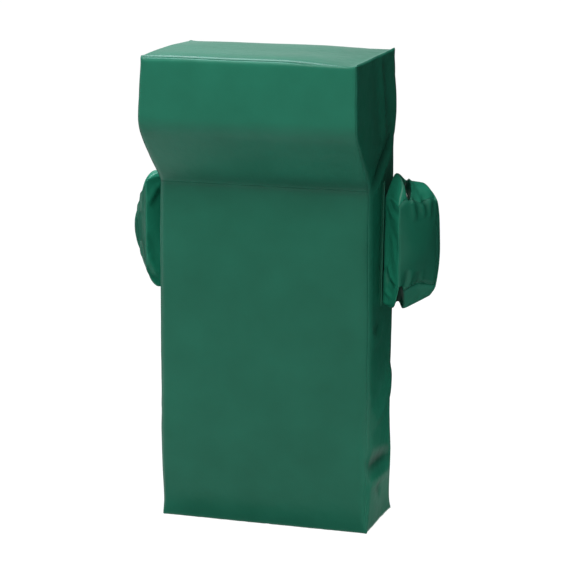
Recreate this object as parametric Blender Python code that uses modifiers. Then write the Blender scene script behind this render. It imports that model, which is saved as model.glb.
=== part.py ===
"""Hand-held tackle dummy: foam blocks in a sewn vinyl bag, with a wedge head, two side wings,
a back zip and two hand holds.

Metres, +Z up. The front faces -Y, and the origin is on the floor under the middle of the body.
Left is the side towards -X."""

import math

import bmesh
import bpy
from mathutils import Matrix, Vector
from mathutils.bvhtree import BVHTree

# The bag
BODY_WIDTH = 0.380
BODY_DEPTH = 0.158
HEIGHT = 0.840
HEAD_REACH = 0.095
CREASE_HEIGHT = 0.613
SLOPE_RISE = 0.110
SKIN = 0.0012
SEAM_PULL = 0.0002
EDGE_BAND = 0.026
FRONT_CROWN = 0.007
HEAD_CROWN = 0.006
TOP_CROWN = 0.006
SIDE_CROWN = 0.005
BACK_CROWN = 0.005
BASE_SAG = 0.004
BASE_LIFT = 0.002
BASE_TUCK = 0.0025
BODY_SWELL = 0.0010
HEAD_SWELL = 0.007

# The foam inside it
FOAM_GAP = 0.0006
BLOCK_GAP = 0.0004
BACKING_THICKNESS = 0.025

# The wings
WING_REACH = 0.092
WING_THICKNESS = 0.052
WING_FOOT = 0.388
WING_HEIGHT = 0.232
WING_ROOT_SETBACK = 0.004
WING_NOTCH = 0.008
WING_FACE_CROWN = 0.005
WING_END_CROWN = 0.004
WING_FLARE = math.radians(33.0)
WING_FRONT_ANGLE = math.radians(41.6)
WELT_WIDTH = 0.016
WELT_EDGE = 0.0010
WELT_RIB_WIDTH = 0.0036
WELT_RIB_HEIGHT = 0.0026

# The zip in the back
ZIP_LOW = 0.115
ZIP_LENGTH = 0.555
ZIP_SLOT_WIDTH = 0.0130
ZIP_END_ROOM = 0.0055
TAPE_THICKNESS = 0.0008
TAPE_WIDTH = 0.0135
TAPE_TAIL = 0.012
TOOTH_PITCH = 0.0060
TOOTH_WIDTH = 0.0022
TOOTH_CHAMFER = 0.0003
TOOTH_THICKNESS = 0.0026
TOOTH_REACH = 0.0036
SPINE_WIDTH = 0.0018
SPINE_OFFSET = 0.0022
SLIDER_LENGTH = 0.0150
SLIDER_WIDTH = 0.0110
SLIDER_TAPER = 0.0013
SLIDER_THICKNESS = 0.0014
SLIDER_EDGE = 0.0004
SKIRT_WIDTH = 0.0010
BRIDGE_SPAN = 0.0080
BRIDGE_HEIGHT = 0.0043
BRIDGE_RADIUS = 0.0008
PULL_LENGTH = 0.032
PULL_WIDTH = 0.0070
PULL_TIP_WIDTH = 0.0090
PULL_THICKNESS = 0.0014
PULL_WINDOW_WIDTH = 0.0026
PULL_WINDOW_LENGTH = 0.0065
PULL_CORNER = 0.0020
PULL_HEIGHT = 0.0014
STOP_WIDTH = 0.0096
STOP_LENGTH = 0.0042
STOP_THICKNESS = 0.0021
STOP_EDGE = 0.0005

# The hand holds
HOLD_OFFSET = 0.090
HOLD_HEIGHT = 0.500
HOLD_SPAN = 0.210
HOLD_STAND_OFF = 0.052
HOLD_BEND = 0.046
HOLD_LEAD = 0.006
CORD_RADIUS = 0.0060
GRIP_LENGTH = 0.100
GRIP_RADIUS = 0.0145
GRIP_SWELL = 0.0012
GRIP_EDGE = 0.0030
STRAP_WIDTH = 0.038
STRAP_THICKNESS = 0.0044
STRAP_TAIL = 0.042
STRAP_NECK = 0.024
STRAP_EDGE = 0.0012
PATCH_WIDTH = 0.062
PATCH_MARGIN = 0.012
PATCH_THICKNESS = 0.0012
PATCH_CORNER = 0.012

# The vent eyelets
EYELET_FROM_SIDE = 0.050
EYELET_FROM_BASE = 0.150
EYELET_FROM_TOP = 0.075
EYELET_HOLE = 0.0040
EYELET_BARREL = 0.0048
EYELET_FLANGE = 0.0090
EYELET_WASHER = 0.0078
EYELET_METAL = 0.0008

# Fits, and what cuts run past
FIT = 0.0003
LOOSE_FIT = 0.0005
OVERRUN = 0.020
MERGE = 0.00001
SIGHT = 1.0

# Ratios
FACING_SHARE = 0.9
# Which way each side lies from the middle
LEFT_SHARE = -1.0
RIGHT_SHARE = 1.0
ROLL_POWER = 4
COLUMN_SHARE = 0.45
ROW_SHARES = (0.125, 0.42, 0.70)
TUCK_SHARE = 0.25
RIGHT_TOOTH_SHARE = 0.9
LEFT_TOOTH_SHARE = 0.4
# Where a strap's neck is half gathered, and how far, from flat and wide to round
GATHER_PLACE_SHARE = 0.65
GATHER_SHARE = 0.62
# How square a ring is: 2 is round
ROUND_POWER = 2.0
GATHER_POWER = 3.0
FLAT_POWER = 8.0
# Places along the wing, from root to tip, with the foot and the top there as shares of its height
WING_OUTLINE_SHARES = (
    (0.00, 0.060, 1.000),
    (0.22, 0.040, 1.020),
    (0.50, 0.050, 1.000),
    (0.86, 0.140, 0.920),
    (1.00, 0.290, 0.740),
)
WING_LEVEL_SHARES = (0.14, 0.50, 0.86)

# What the sizes above lead to
SLOPE_TOP = CREASE_HEIGHT + SLOPE_RISE
FRONT = -BODY_DEPTH / 2
BACK = BODY_DEPTH / 2
HALF_WIDTH = BODY_WIDTH / 2
EYELET_OFFSET = HALF_WIDTH - EYELET_FROM_SIDE
ZIP_HIGH = ZIP_LOW + ZIP_LENGTH

PANELS = (
    "body_front_panel",
    "head_front_panel",
    "top_panel",
    "bottom_panel",
    "side_panel_left",
    "side_panel_right",
    "back_panel_left",
    "back_panel_right",
)
WING_PANELS = ("outer_face", "inner_face", "gusset")
SIDES = (("left", LEFT_SHARE), ("right", RIGHT_SHARE))

for old_object in list(bpy.data.objects):
    bpy.data.objects.remove(old_object, do_unlink=True)
PARTS = bpy.data.collections.new("hand_tackle_dummy")
CUTTERS = bpy.data.collections.new("cutters")
bpy.context.scene.collection.children.link(PARTS)
bpy.context.scene.collection.children.link(CUTTERS)


def plain_material(name, colour, roughness, metallic=0.0):
    """A material of one colour, roughness and metallic value."""
    made = bpy.data.materials.new(name)
    made.use_nodes = True
    shader = made.node_tree.nodes["Principled BSDF"]
    shader.inputs["Base Color"].default_value = (*colour, 1.0)
    shader.inputs["Roughness"].default_value = roughness
    shader.inputs["Metallic"].default_value = metallic
    made.diffuse_color = (*colour, 1.0)
    return made


VINYL = plain_material("green_vinyl", (0.016, 0.118, 0.072), 0.38)
FOAM = plain_material("impact_foam", (0.55, 0.56, 0.52), 0.95)
FIRM_FOAM = plain_material("firm_foam", (0.12, 0.13, 0.14), 0.95)
WEBBING = plain_material("black_webbing", (0.018, 0.018, 0.020), 0.85)
RUBBER = plain_material("grip_rubber", (0.025, 0.025, 0.027), 0.70)
ZIP_PLASTIC = plain_material("zip_plastic", (0.020, 0.022, 0.022), 0.45)
ZIP_METAL = plain_material("zip_metal", (0.42, 0.42, 0.41), 0.35, 1.0)
BRASS = plain_material("brass", (0.60, 0.42, 0.16), 0.30, 1.0)


def add_object(name, data, finish):
    """A part of the model, under its own name and in its own material."""
    made = bpy.data.objects.new(name, data)
    data.materials.clear()
    data.materials.append(finish)
    PARTS.objects.link(made)
    return made


def add_guide(name, data):
    """A cutter or a form that others are made from, which isn't part of the model."""
    made = bpy.data.objects.new(name, data)
    made.hide_render = True
    made.display_type = "WIRE"
    CUTTERS.objects.link(made)
    return made


def to_mesh(name, shape):
    """The mesh of a bmesh, which is freed."""
    mesh = bpy.data.meshes.new(name)
    shape.to_mesh(mesh)
    shape.free()
    return mesh


def evaluated_mesh(source):
    """A new mesh of an object as its modifiers leave it."""
    bpy.context.view_layer.update()
    depsgraph = bpy.context.evaluated_depsgraph_get()
    return bpy.data.meshes.new_from_object(source.evaluated_get(depsgraph))


def combine(target, tool, operation):
    """Cut, keep or join the tool's shape, as a modifier that stays on the target."""
    change = target.modifiers.new(operation.lower(), "BOOLEAN")
    change.operation = operation
    change.object = tool


def smooth(mesh, sharp_angle=math.radians(35.0)):
    """Shade a mesh smooth, apart from its sharp edges."""
    mesh.shade_smooth()
    mesh.set_sharp_from_angle(angle=sharp_angle)


def face_outward(shape):
    """Turn every face of a closed shape to point out."""
    shape.normal_update()
    bmesh.ops.recalc_face_normals(shape, faces=shape.faces)


def box_shape(low, high):
    """A bmesh box from its lowest to its highest corner."""
    shape = bmesh.new()
    bmesh.ops.create_cube(shape, size=1.0)
    low = Vector(low)
    high = Vector(high)
    place = Matrix.Translation((low + high) / 2) @ Matrix.Diagonal((*(high - low), 1.0))
    bmesh.ops.transform(shape, matrix=place, verts=shape.verts)
    return shape


def box_cutter(name, low, high):
    """A box that cuts or keeps part of a solid."""
    return add_guide(name, to_mesh(name, box_shape(low, high)))


def slice_cage(cage, axis, places):
    """Cut a row of edges round a cage at each place along an axis."""
    normal = Vector((0.0, 0.0, 0.0))
    normal[axis] = 1.0
    for place in places:
        geometry = cage.verts[:] + cage.edges[:] + cage.faces[:]
        bmesh.ops.bisect_plane(cage, geom=geometry, plane_co=normal * place, plane_no=normal)


def span_share(value, low, high):
    """Where a value lies between two others, from -1 to 1."""
    return 2 * (value - low) / (high - low) - 1


def dome(across, along):
    """A stuffed panel's height: 1 over its middle, rolling down to 0 at its seams."""
    return (1 - abs(across) ** ROLL_POWER) * (1 - abs(along) ** ROLL_POWER)


def bump(value, low, high):
    """A low arch that is 0 at both ends of a span and outside it."""
    share = (value - low) / (high - low)
    return 4 * share * (1 - share) if 0 < share < 1 else 0.0


def head_share(z):
    """How much of the head's reach there is at a height: none at the crease, all above the slope."""
    return min(max((z - CREASE_HEIGHT) / (SLOPE_TOP - CREASE_HEIGHT), 0.0), 1.0)


def front_at(z):
    """Where the front of the bag lies at a height."""
    return FRONT - HEAD_REACH * head_share(z)


def crease_seams(cage, joined=()):
    """Keep the edges between panels crisp, apart from those between the joined ones."""
    weight = cage.edges.layers.float.new("crease_edge")
    for edge in cage.edges:
        panels = {face.material_index for face in edge.link_faces}
        if len(panels) > 1 and not panels <= set(joined):
            edge[weight] = 1.0


def form_mesh(name, cage):
    """The soft form of a cage, whose faces know their panel."""
    guide = add_guide(name, to_mesh(name, cage))
    for _ in range(len(PANELS)):
        guide.data.materials.append(None)
    rounding = guide.modifiers.new("rounding", "SUBSURF")
    rounding.levels = 1
    rounding.render_levels = 1
    return evaluated_mesh(guide)


def bag_panel(face):
    """Which panel of the bag a face of its cage belongs to."""
    centre = face.calc_center_median()
    side = "left" if centre.x < 0 else "right"
    if abs(face.normal.x) > FACING_SHARE:
        return PANELS.index("side_panel_" + side)
    if face.normal.z > FACING_SHARE:
        return PANELS.index("top_panel")
    if centre.z < MERGE:
        return PANELS.index("bottom_panel")
    if face.normal.y > FACING_SHARE:
        return PANELS.index("back_panel_" + side)
    return PANELS.index("head_front_panel" if centre.z > CREASE_HEIGHT else "body_front_panel")


def bag_crown(panel, point):
    """How far a panel's stuffing pushes a point out."""
    across = point.x / HALF_WIDTH
    up = span_share(point.z, 0.0, HEIGHT)
    through = span_share(point.y, front_at(point.z), BACK)
    if panel == "body_front_panel":
        up = span_share(point.z, 0.0, CREASE_HEIGHT)
        return Vector((0.0, -FRONT_CROWN * dome(across, up), 0.0))
    if panel == "head_front_panel":
        up = span_share(point.z, CREASE_HEIGHT, HEIGHT)
        return Vector((0.0, -HEAD_CROWN * dome(across, up), 0.0))
    if panel == "top_panel":
        return Vector((0.0, 0.0, TOP_CROWN * dome(across, through)))
    if panel == "bottom_panel":
        return Vector((0.0, 0.0, -BASE_SAG))
    if panel.startswith("side_panel"):
        return Vector((math.copysign(SIDE_CROWN * dome(through, up), point.x), 0.0, 0.0))
    return Vector((0.0, BACK_CROWN * dome(across, 0.0), 0.0))


def bag_cage():
    """The coarse cage of the whole bag: a box with the head drawn out of its front."""
    cage = box_shape((-HALF_WIDTH, FRONT, 0.0), (HALF_WIDTH, BACK, HEIGHT))
    column = HALF_WIDTH * COLUMN_SHARE
    outer_column = HALF_WIDTH - EDGE_BAND
    slice_cage(cage, 0, (-outer_column, -column, 0.0, column, outer_column))
    slice_cage(cage, 1, (FRONT + EDGE_BAND, BACK - EDGE_BAND))
    rows = [CREASE_HEIGHT * share for share in ROW_SHARES]
    slice_cage(cage, 2, (EDGE_BAND, *rows, CREASE_HEIGHT - EDGE_BAND))
    slice_cage(cage, 2, (CREASE_HEIGHT, SLOPE_TOP, HEIGHT - EDGE_BAND))

    head = [
        face
        for face in cage.faces
        if face.normal.y < -FACING_SHARE and face.calc_center_median().z > CREASE_HEIGHT
    ]
    drawn = bmesh.ops.extrude_face_region(cage, geom=head)["geom"]
    corners = [item for item in drawn if isinstance(item, bmesh.types.BMVert)]
    bmesh.ops.translate(cage, verts=corners, vec=(0.0, -HEAD_REACH, 0.0))
    bmesh.ops.delete(cage, geom=head, context="FACES")
    slice_cage(cage, 1, (FRONT - HEAD_REACH + EDGE_BAND,))
    for corner in cage.verts:
        if corner.co.y < FRONT - MERGE:
            corner.co.y = FRONT + (corner.co.y - FRONT) * head_share(corner.co.z)
    bmesh.ops.remove_doubles(cage, verts=cage.verts, dist=MERGE)
    face_outward(cage)
    return cage


def soften_bag(cage):
    """Give the cage's panels their crowns, swell its sides and tuck in its base."""
    back_halves = (PANELS.index("back_panel_left"), PANELS.index("back_panel_right"))
    for corner in cage.verts:
        point = corner.co.copy()
        panels = {face.material_index for face in corner.link_faces}
        width = HALF_WIDTH + BODY_SWELL * bump(point.z, 0.0, CREASE_HEIGHT)
        width += HEAD_SWELL * bump(point.z, CREASE_HEIGHT, HEIGHT)
        tuck = 1.0 if point.z < MERGE else TUCK_SHARE if point.z < EDGE_BAND + MERGE else 0.0
        width -= BASE_TUCK * tuck
        corner.co.x = point.x * width / HALF_WIDTH
        corner.co.y = point.y * (1 - tuck * BASE_TUCK / BODY_DEPTH)
        if len(panels) == 1 or panels <= set(back_halves):
            corner.co += bag_crown(PANELS[min(panels)], point)
        elif point.z < MERGE:
            corner.co.z = BASE_LIFT


def bag_form():
    """The bag's outer surface, flat where it rests."""
    cage = bag_cage()
    for face in cage.faces:
        face.material_index = bag_panel(face)
    crease_seams(cage, (PANELS.index("back_panel_left"), PANELS.index("back_panel_right")))
    soften_bag(cage)
    mesh = form_mesh("bag_form", cage)
    for vertex in mesh.vertices:
        vertex.co.z = max(vertex.co.z, 0.0)
    return mesh


def skin_bmesh(form, depth):
    """A closed form whose corners carry their way in to a skin that lies depth inside it."""
    skin = bmesh.new()
    skin.from_mesh(form)
    skin.normal_update()
    inward = skin.verts.layers.float_vector.new("inward")
    for corner in skin.verts:
        corner[inward] = -corner.normal * corner.calc_shell_factor() * depth
    return skin, inward


def pull_back_edges(sheet, distance):
    """Draw the open edges of a sheet back from its neighbours, evenly."""
    pulls = {}
    for edge in sheet.edges:
        if not edge.is_boundary:
            continue
        loop = edge.link_loops[0]
        along = loop.link_loop_next.vert.co - loop.vert.co
        away = loop.face.normal.cross(along).normalized()
        for corner in edge.verts:
            pulls.setdefault(corner, []).append(away)
    for corner, ways in pulls.items():
        first, second = ways[0], ways[-1]
        corner.co += (first + second) * distance / (1 + first.dot(second))


def cover_panel(form, panel, name):
    """One panel of a cover: its part of the form, as thick as the skin, mitred along its seams."""
    sheet, inward = skin_bmesh(form, SKIN)
    others = [face for face in sheet.faces if face.material_index != panel]
    bmesh.ops.delete(sheet, geom=others, context="FACES")
    pull_back_edges(sheet, SEAM_PULL)
    lining = bmesh.ops.extrude_face_region(sheet, geom=sheet.faces[:], use_keep_orig=True)
    for item in lining["geom"]:
        if isinstance(item, bmesh.types.BMVert):
            item.co += item[inward]
    face_outward(sheet)
    for face in sheet.faces:
        face.material_index = 0
    mesh = to_mesh(name, sheet)
    smooth(mesh)
    return add_object(name, mesh, VINYL)


def foam_mesh(form, name):
    """The block of foam that fills a cover."""
    block, inward = skin_bmesh(form, SKIN + FOAM_GAP)
    for corner in block.verts:
        corner.co += corner[inward]
    for face in block.faces:
        face.material_index = 0
    mesh = to_mesh(name, block)
    smooth(mesh)
    return mesh


BAG = bag_form()
BAG_TREE = BVHTree.FromPolygons(
    [vertex.co.copy() for vertex in BAG.vertices], [tuple(face.vertices) for face in BAG.polygons]
)


def back_surface(x, z):
    """Where the back of the bag lies at a place, and which way it faces."""
    point, normal, _, _ = BAG_TREE.ray_cast(Vector((x, SIGHT, z)), Vector((0.0, -1.0, 0.0)))
    return point, normal


def side_surface(side, y, z):
    """How far out the side of the bag lies at a place."""
    start = Vector((side * SIGHT, y, z))
    point, _, _, _ = BAG_TREE.ray_cast(start, Vector((-side, 0.0, 0.0)))
    return abs(point.x)


# The zip's layers, from the panels inwards: the back is lowest at the tapes' outer edges
TAPE_INNER = SPINE_OFFSET + SPINE_WIDTH + FIT
TAPE_OUTER = TAPE_INNER + TAPE_WIDTH
ZIP_FACE = back_surface(TAPE_OUTER, ZIP_LOW + ZIP_LENGTH / 2)[0].y
TAPE_TOP = ZIP_FACE - SKIN - LOOSE_FIT
TAPE_MIDDLE = TAPE_TOP - TAPE_THICKNESS / 2
TOOTH_TOP = TAPE_MIDDLE + TOOTH_THICKNESS / 2
TOOTH_BOTTOM = TAPE_MIDDLE - TOOTH_THICKNESS / 2
SLIDER_FLOOR = TOOTH_TOP + FIT
SLIDER_TOP = SLIDER_FLOOR + SLIDER_THICKNESS
SLIDER_REST = ZIP_LOW + SLIDER_LENGTH / 2 + FIT
SLIDER_TRAVEL = ZIP_LENGTH - SLIDER_LENGTH - 2 * FIT
PULL_AXIS = SLIDER_TOP + PULL_HEIGHT


def eyelet_places():
    """The frame of each vent eyelet: on the back's surface, with its axis pointing out."""
    for row, height in (("lower", EYELET_FROM_BASE), ("upper", HEIGHT - EYELET_FROM_TOP)):
        for side_name, side in SIDES:
            point, normal = back_surface(side * EYELET_OFFSET, height)
            turn = normal.to_track_quat("Z", "Y").to_matrix().to_4x4()
            yield row + "_" + side_name, Matrix.Translation(point) @ turn


def round_cutter(name, radius, low, high, place):
    """A cylinder that cuts from low to high along the axis of a frame."""
    shape = bmesh.new()
    bmesh.ops.create_cone(
        shape,
        cap_ends=True,
        segments=16,
        radius1=radius,
        radius2=radius,
        depth=high - low,
        matrix=place @ Matrix.Translation((0.0, 0.0, (low + high) / 2)),
    )
    return add_guide(name, to_mesh(name, shape))


def build_cover():
    """The eight panels of the bag, with the zip's slot and the eyelets' holes in the back."""
    covers = {name: cover_panel(BAG, index, name) for index, name in enumerate(PANELS)}
    half = ZIP_SLOT_WIDTH / 2
    slot = box_cutter(
        "zip_slot",
        (-half, ZIP_FACE - OVERRUN, ZIP_LOW - ZIP_END_ROOM),
        (half, ZIP_FACE + OVERRUN, ZIP_HIGH + ZIP_END_ROOM),
    )
    for side_name, _ in SIDES:
        combine(covers["back_panel_" + side_name], slot, "DIFFERENCE")
    for name, place in eyelet_places():
        hole = round_cutter("vent_hole_" + name, EYELET_BARREL + FIT, -OVERRUN, OVERRUN, place)
        side_name = name.rpartition("_")[2]
        combine(covers["back_panel_" + side_name], hole, "DIFFERENCE")


def build_foam():
    """The body's impact foam, the firmer layer behind it and the head's wedge."""
    reach = HALF_WIDTH + OVERRUN
    top = HEIGHT + OVERRUN
    seam = BACK - BACKING_THICKNESS
    in_front = FRONT - HEAD_REACH - OVERRUN
    behind = BACK + OVERRUN
    head_zone = box_cutter(
        "head_zone", (-reach, in_front, CREASE_HEIGHT), (reach, FRONT - BLOCK_GAP / 2, top)
    )
    head_room = box_cutter(
        "head_room", (-reach, in_front, CREASE_HEIGHT), (reach, FRONT + BLOCK_GAP / 2, top)
    )
    back_zone = box_cutter(
        "back_zone", (-reach, seam + BLOCK_GAP / 2, -OVERRUN), (reach, behind, top)
    )
    back_room = box_cutter(
        "back_room", (-reach, seam - BLOCK_GAP / 2, -OVERRUN), (reach, behind, top)
    )
    zip_half = TAPE_OUTER + LOOSE_FIT
    zip_room = box_cutter(
        "zip_room",
        (-zip_half, TOOTH_BOTTOM - LOOSE_FIT, ZIP_LOW - TAPE_TAIL - LOOSE_FIT),
        (zip_half, behind, ZIP_HIGH + TAPE_TAIL + LOOSE_FIT),
    )

    body_foam = add_object("body_foam", foam_mesh(BAG, "body_foam"), FOAM)
    combine(body_foam, head_room, "DIFFERENCE")
    combine(body_foam, back_room, "DIFFERENCE")
    head_foam = add_object("head_foam", foam_mesh(BAG, "head_foam"), FOAM)
    combine(head_foam, head_zone, "INTERSECT")
    backing_foam = add_object("backing_foam", foam_mesh(BAG, "backing_foam"), FIRM_FOAM)
    combine(backing_foam, back_zone, "INTERSECT")
    combine(backing_foam, zip_room, "DIFFERENCE")
    washer_depth = SKIN + FIT + EYELET_METAL + LOOSE_FIT
    for name, place in eyelet_places():
        room = round_cutter(
            "vent_room_" + name, EYELET_WASHER + LOOSE_FIT, -washer_depth, OVERRUN, place
        )
        combine(backing_foam, room, "DIFFERENCE")


def wing_root(side):
    """The line that a wing swings on, just outside its welt: how far out it lies."""
    heights = [WING_FOOT + WING_HEIGHT * share for share in (0.0, *WING_LEVEL_SHARES, 1.0)]
    surface = max(side_surface(side, -WING_ROOT_SETBACK, height) for height in heights)
    return surface + FIT + WELT_RIB_HEIGHT + FIT


def wing_outline(share):
    """The foot and the top of a wing, as shares of its height, at a place from root to tip."""
    for low, high in zip(WING_OUTLINE_SHARES, WING_OUTLINE_SHARES[1:]):
        if share <= high[0]:
            part = (share - low[0]) / (high[0] - low[0])
            return [low[i] + (high[i] - low[i]) * part for i in (1, 2)]
    return WING_OUTLINE_SHARES[-1][1:]


def wing_panel(face):
    """Which panel of a wing a face of its unit cage belongs to."""
    if face.normal.y > FACING_SHARE:
        return WING_PANELS.index("outer_face")
    if face.normal.y < -FACING_SHARE:
        return WING_PANELS.index("inner_face")
    return WING_PANELS.index("gusset")


def wing_crown_shares(point, panels):
    """How much of its crown a point of a wing's unit cage has along, out and up."""
    up = span_share(point.z, 0.0, 1.0)
    along = span_share(point.x, 0.0, 1.0)
    if panels == {WING_PANELS.index("outer_face")}:
        return 0.0, dome(along, up), 0.0
    if panels == {WING_PANELS.index("inner_face")}:
        return 0.0, -dome(along, up), 0.0
    if panels == {WING_PANELS.index("gusset")}:
        along_share = along if point.x in (0.0, 1.0) else 0.0
        up_share = up if point.z in (0.0, 1.0) else 0.0
        return along_share, 0.0, up_share
    return 0.0, 0.0, 0.0


def wing_form(side_name, side):
    """A wing's outer surface: a boxed pad that flares back from its root line."""
    cage = box_shape((0.0, 0.0, 0.0), (1.0, 1.0, 1.0))
    slice_cage(cage, 0, [station[0] for station in WING_OUTLINE_SHARES[1:-1]])
    slice_cage(cage, 1, (0.5,))
    slice_cage(cage, 2, WING_LEVEL_SHARES)
    for face in cage.faces:
        face.material_index = wing_panel(face)
    crease_seams(cage)

    root = wing_root(side)
    notch_place = WING_OUTLINE_SHARES[1][0]
    back = Vector((math.sin(WING_FLARE), math.cos(WING_FLARE), 0.0))
    out = Vector((math.sin(WING_FRONT_ANGLE), -math.cos(WING_FRONT_ANGLE), 0.0))
    for corner in cage.verts:
        share = Vector([round(value, 6) for value in corner.co])
        panels = {face.material_index for face in corner.link_faces}
        foot, top = wing_outline(share.x)
        height = WING_FOOT + WING_HEIGHT * (foot + (top - foot) * share.z)
        if abs(share.x - notch_place) < MERGE and share.z in (0.0, 1.0):
            height -= math.copysign(WING_NOTCH, share.z - 0.5)
        along_share, out_share, up_share = wing_crown_shares(share, panels)
        place = Vector((root, -WING_ROOT_SETBACK, height + WING_END_CROWN * up_share))
        place += back * (WING_REACH * share.x + WING_END_CROWN * along_share)
        place += out * (WING_THICKNESS * share.y + WING_FACE_CROWN * out_share)
        place.x *= side
        corner.co = place
    face_outward(cage)
    return form_mesh("wing_form_" + side_name, cage)


def build_wing(side_name, side):
    """A wing's three panels and its foam."""
    form = wing_form(side_name, side)
    for index, panel in enumerate(WING_PANELS):
        cover_panel(form, index, "wing_" + panel + "_" + side_name)
    name = "wing_foam_" + side_name
    add_object(name, foam_mesh(form, name), FOAM)


def build_welt(side_name, side):
    """The sewn strip on the side panel that a wing hangs on: a flat tape with a rib along it."""
    half = WELT_WIDTH / 2
    rib = WELT_RIB_WIDTH / 2
    section = (
        (-half, 0.0),
        (-half, WELT_EDGE),
        (-rib, WELT_EDGE),
        (-rib / 2, WELT_RIB_HEIGHT),
        (rib / 2, WELT_RIB_HEIGHT),
        (rib, WELT_EDGE),
        (half, WELT_EDGE),
        (half, 0.0),
    )
    low = WING_FOOT + WING_HEIGHT * WING_OUTLINE_SHARES[0][1]
    high = WING_FOOT + WING_HEIGHT * WING_OUTLINE_SHARES[0][2]
    stations = 8
    shape = bmesh.new()
    rings = []
    for station in range(stations + 1):
        z = low + (high - low) * station / stations
        ring = []
        for across, rise in section:
            y = across - WING_ROOT_SETBACK
            surface = side_surface(side, y, z)
            ring.append(shape.verts.new((side * (surface + FIT + rise), y, z)))
        rings.append(ring)
    for lower, upper in zip(rings, rings[1:]):
        for i, corner in enumerate(lower):
            j = (i + 1) % len(section)
            shape.faces.new((corner, lower[j], upper[j], upper[i]))
    shape.faces.new(rings[0])
    shape.faces.new(rings[-1])
    face_outward(shape)
    mesh = to_mesh("wing_welt_" + side_name, shape)
    smooth(mesh)
    add_object("wing_welt_" + side_name, mesh, VINYL)


def outline_curve(name, loops, thickness):
    """A flat piece from closed outlines in the curve's own plane, half its thickness each way."""
    curve = bpy.data.curves.new(name, "CURVE")
    curve.dimensions = "2D"
    curve.fill_mode = "BOTH"
    curve.extrude = thickness / 2
    for points in loops:
        spline = curve.splines.new("POLY")
        spline.points.add(len(points) - 1)
        for target, (x, y) in zip(spline.points, points):
            target.co = (x, y, 0.0, 1.0)
        spline.use_cyclic_u = True
    return curve


def comb_outline(start_share):
    """One row of zip teeth, to the right of its spine: the first starts a share of a pitch up."""
    teeth = int((ZIP_LENGTH - TOOTH_PITCH) / TOOTH_PITCH)
    start = ZIP_LOW + TOOTH_PITCH * start_share - TOOTH_WIDTH / 2
    tip = SPINE_OFFSET - TOOTH_REACH
    points = [(SPINE_OFFSET + SPINE_WIDTH, ZIP_LOW), (SPINE_OFFSET, ZIP_LOW)]
    for tooth in range(teeth):
        low = start + tooth * TOOTH_PITCH
        high = low + TOOTH_WIDTH
        points.append((SPINE_OFFSET, low))
        points.append((tip, low + TOOTH_CHAMFER))
        points.append((tip, high - TOOTH_CHAMFER))
        points.append((SPINE_OFFSET, high))
    points.append((SPINE_OFFSET, ZIP_HIGH))
    points.append((SPINE_OFFSET + SPINE_WIDTH, ZIP_HIGH))
    return points


def add_upright(name, curve, depth, finish, turn=0.0):
    """Stand a flat piece up with its middle at a depth, turned about the upright axis."""
    piece = add_object(name, curve, finish)
    piece.rotation_euler = (math.pi / 2, 0.0, turn)
    piece.location = (0.0, depth, 0.0)
    return piece


def build_zip_rows():
    """The two tapes, the two rows of teeth, and the stops at their ends."""
    low = ZIP_LOW - TAPE_TAIL
    high = ZIP_HIGH + TAPE_TAIL
    for side_name, side in SIDES:
        turn = 0.0 if side > 0 else math.pi
        tape = [(TAPE_INNER, low), (TAPE_OUTER, low), (TAPE_OUTER, high), (TAPE_INNER, high)]
        name = "zip_tape_" + side_name
        curve = outline_curve(name, [tape], TAPE_THICKNESS)
        add_upright(name, curve, TAPE_MIDDLE, WEBBING, turn)
        name = "zip_teeth_" + side_name
        start_share = RIGHT_TOOTH_SHARE if side > 0 else LEFT_TOOTH_SHARE
        curve = outline_curve(name, [comb_outline(start_share)], TOOTH_THICKNESS)
        add_upright(name, curve, TAPE_MIDDLE, ZIP_PLASTIC, turn)
    half = STOP_WIDTH / 2
    floor = TAPE_TOP + FIT
    bottom = ZIP_LOW - FIT - STOP_LENGTH
    for name, start in (("zip_bottom_stop", bottom), ("zip_top_stop", ZIP_HIGH + FIT)):
        shape = box_shape(
            (-half, floor, start), (half, floor + STOP_THICKNESS, start + STOP_LENGTH)
        )
        stop = add_object(name, to_mesh(name, shape), ZIP_METAL)
        add_bevel(stop, STOP_EDGE, 2)


def add_bevel(target, width, segments):
    """Round the edges of a solid."""
    bevel = target.modifiers.new("rounded", "BEVEL")
    bevel.width = width
    bevel.segments = segments
    bevel.limit_method = "ANGLE"


def tube_mesh(name, points, radius, resolution):
    """A tube along a line of points, as a closed mesh."""
    curve = bpy.data.curves.new(name, "CURVE")
    curve.dimensions = "3D"
    curve.bevel_depth = radius
    curve.bevel_resolution = resolution
    curve.use_fill_caps = True
    spline = curve.splines.new("POLY")
    spline.points.add(len(points) - 1)
    for target, point in zip(spline.points, points):
        target.co = (*point, 1.0)
    guide = bpy.data.objects.new(name, curve)
    CUTTERS.objects.link(guide)
    shape = bmesh.new()
    shape.from_mesh(evaluated_mesh(guide))
    bmesh.ops.remove_doubles(shape, verts=shape.verts, dist=MERGE)
    face_outward(shape)
    bpy.data.objects.remove(guide, do_unlink=True)
    return to_mesh(name, shape)


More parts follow.
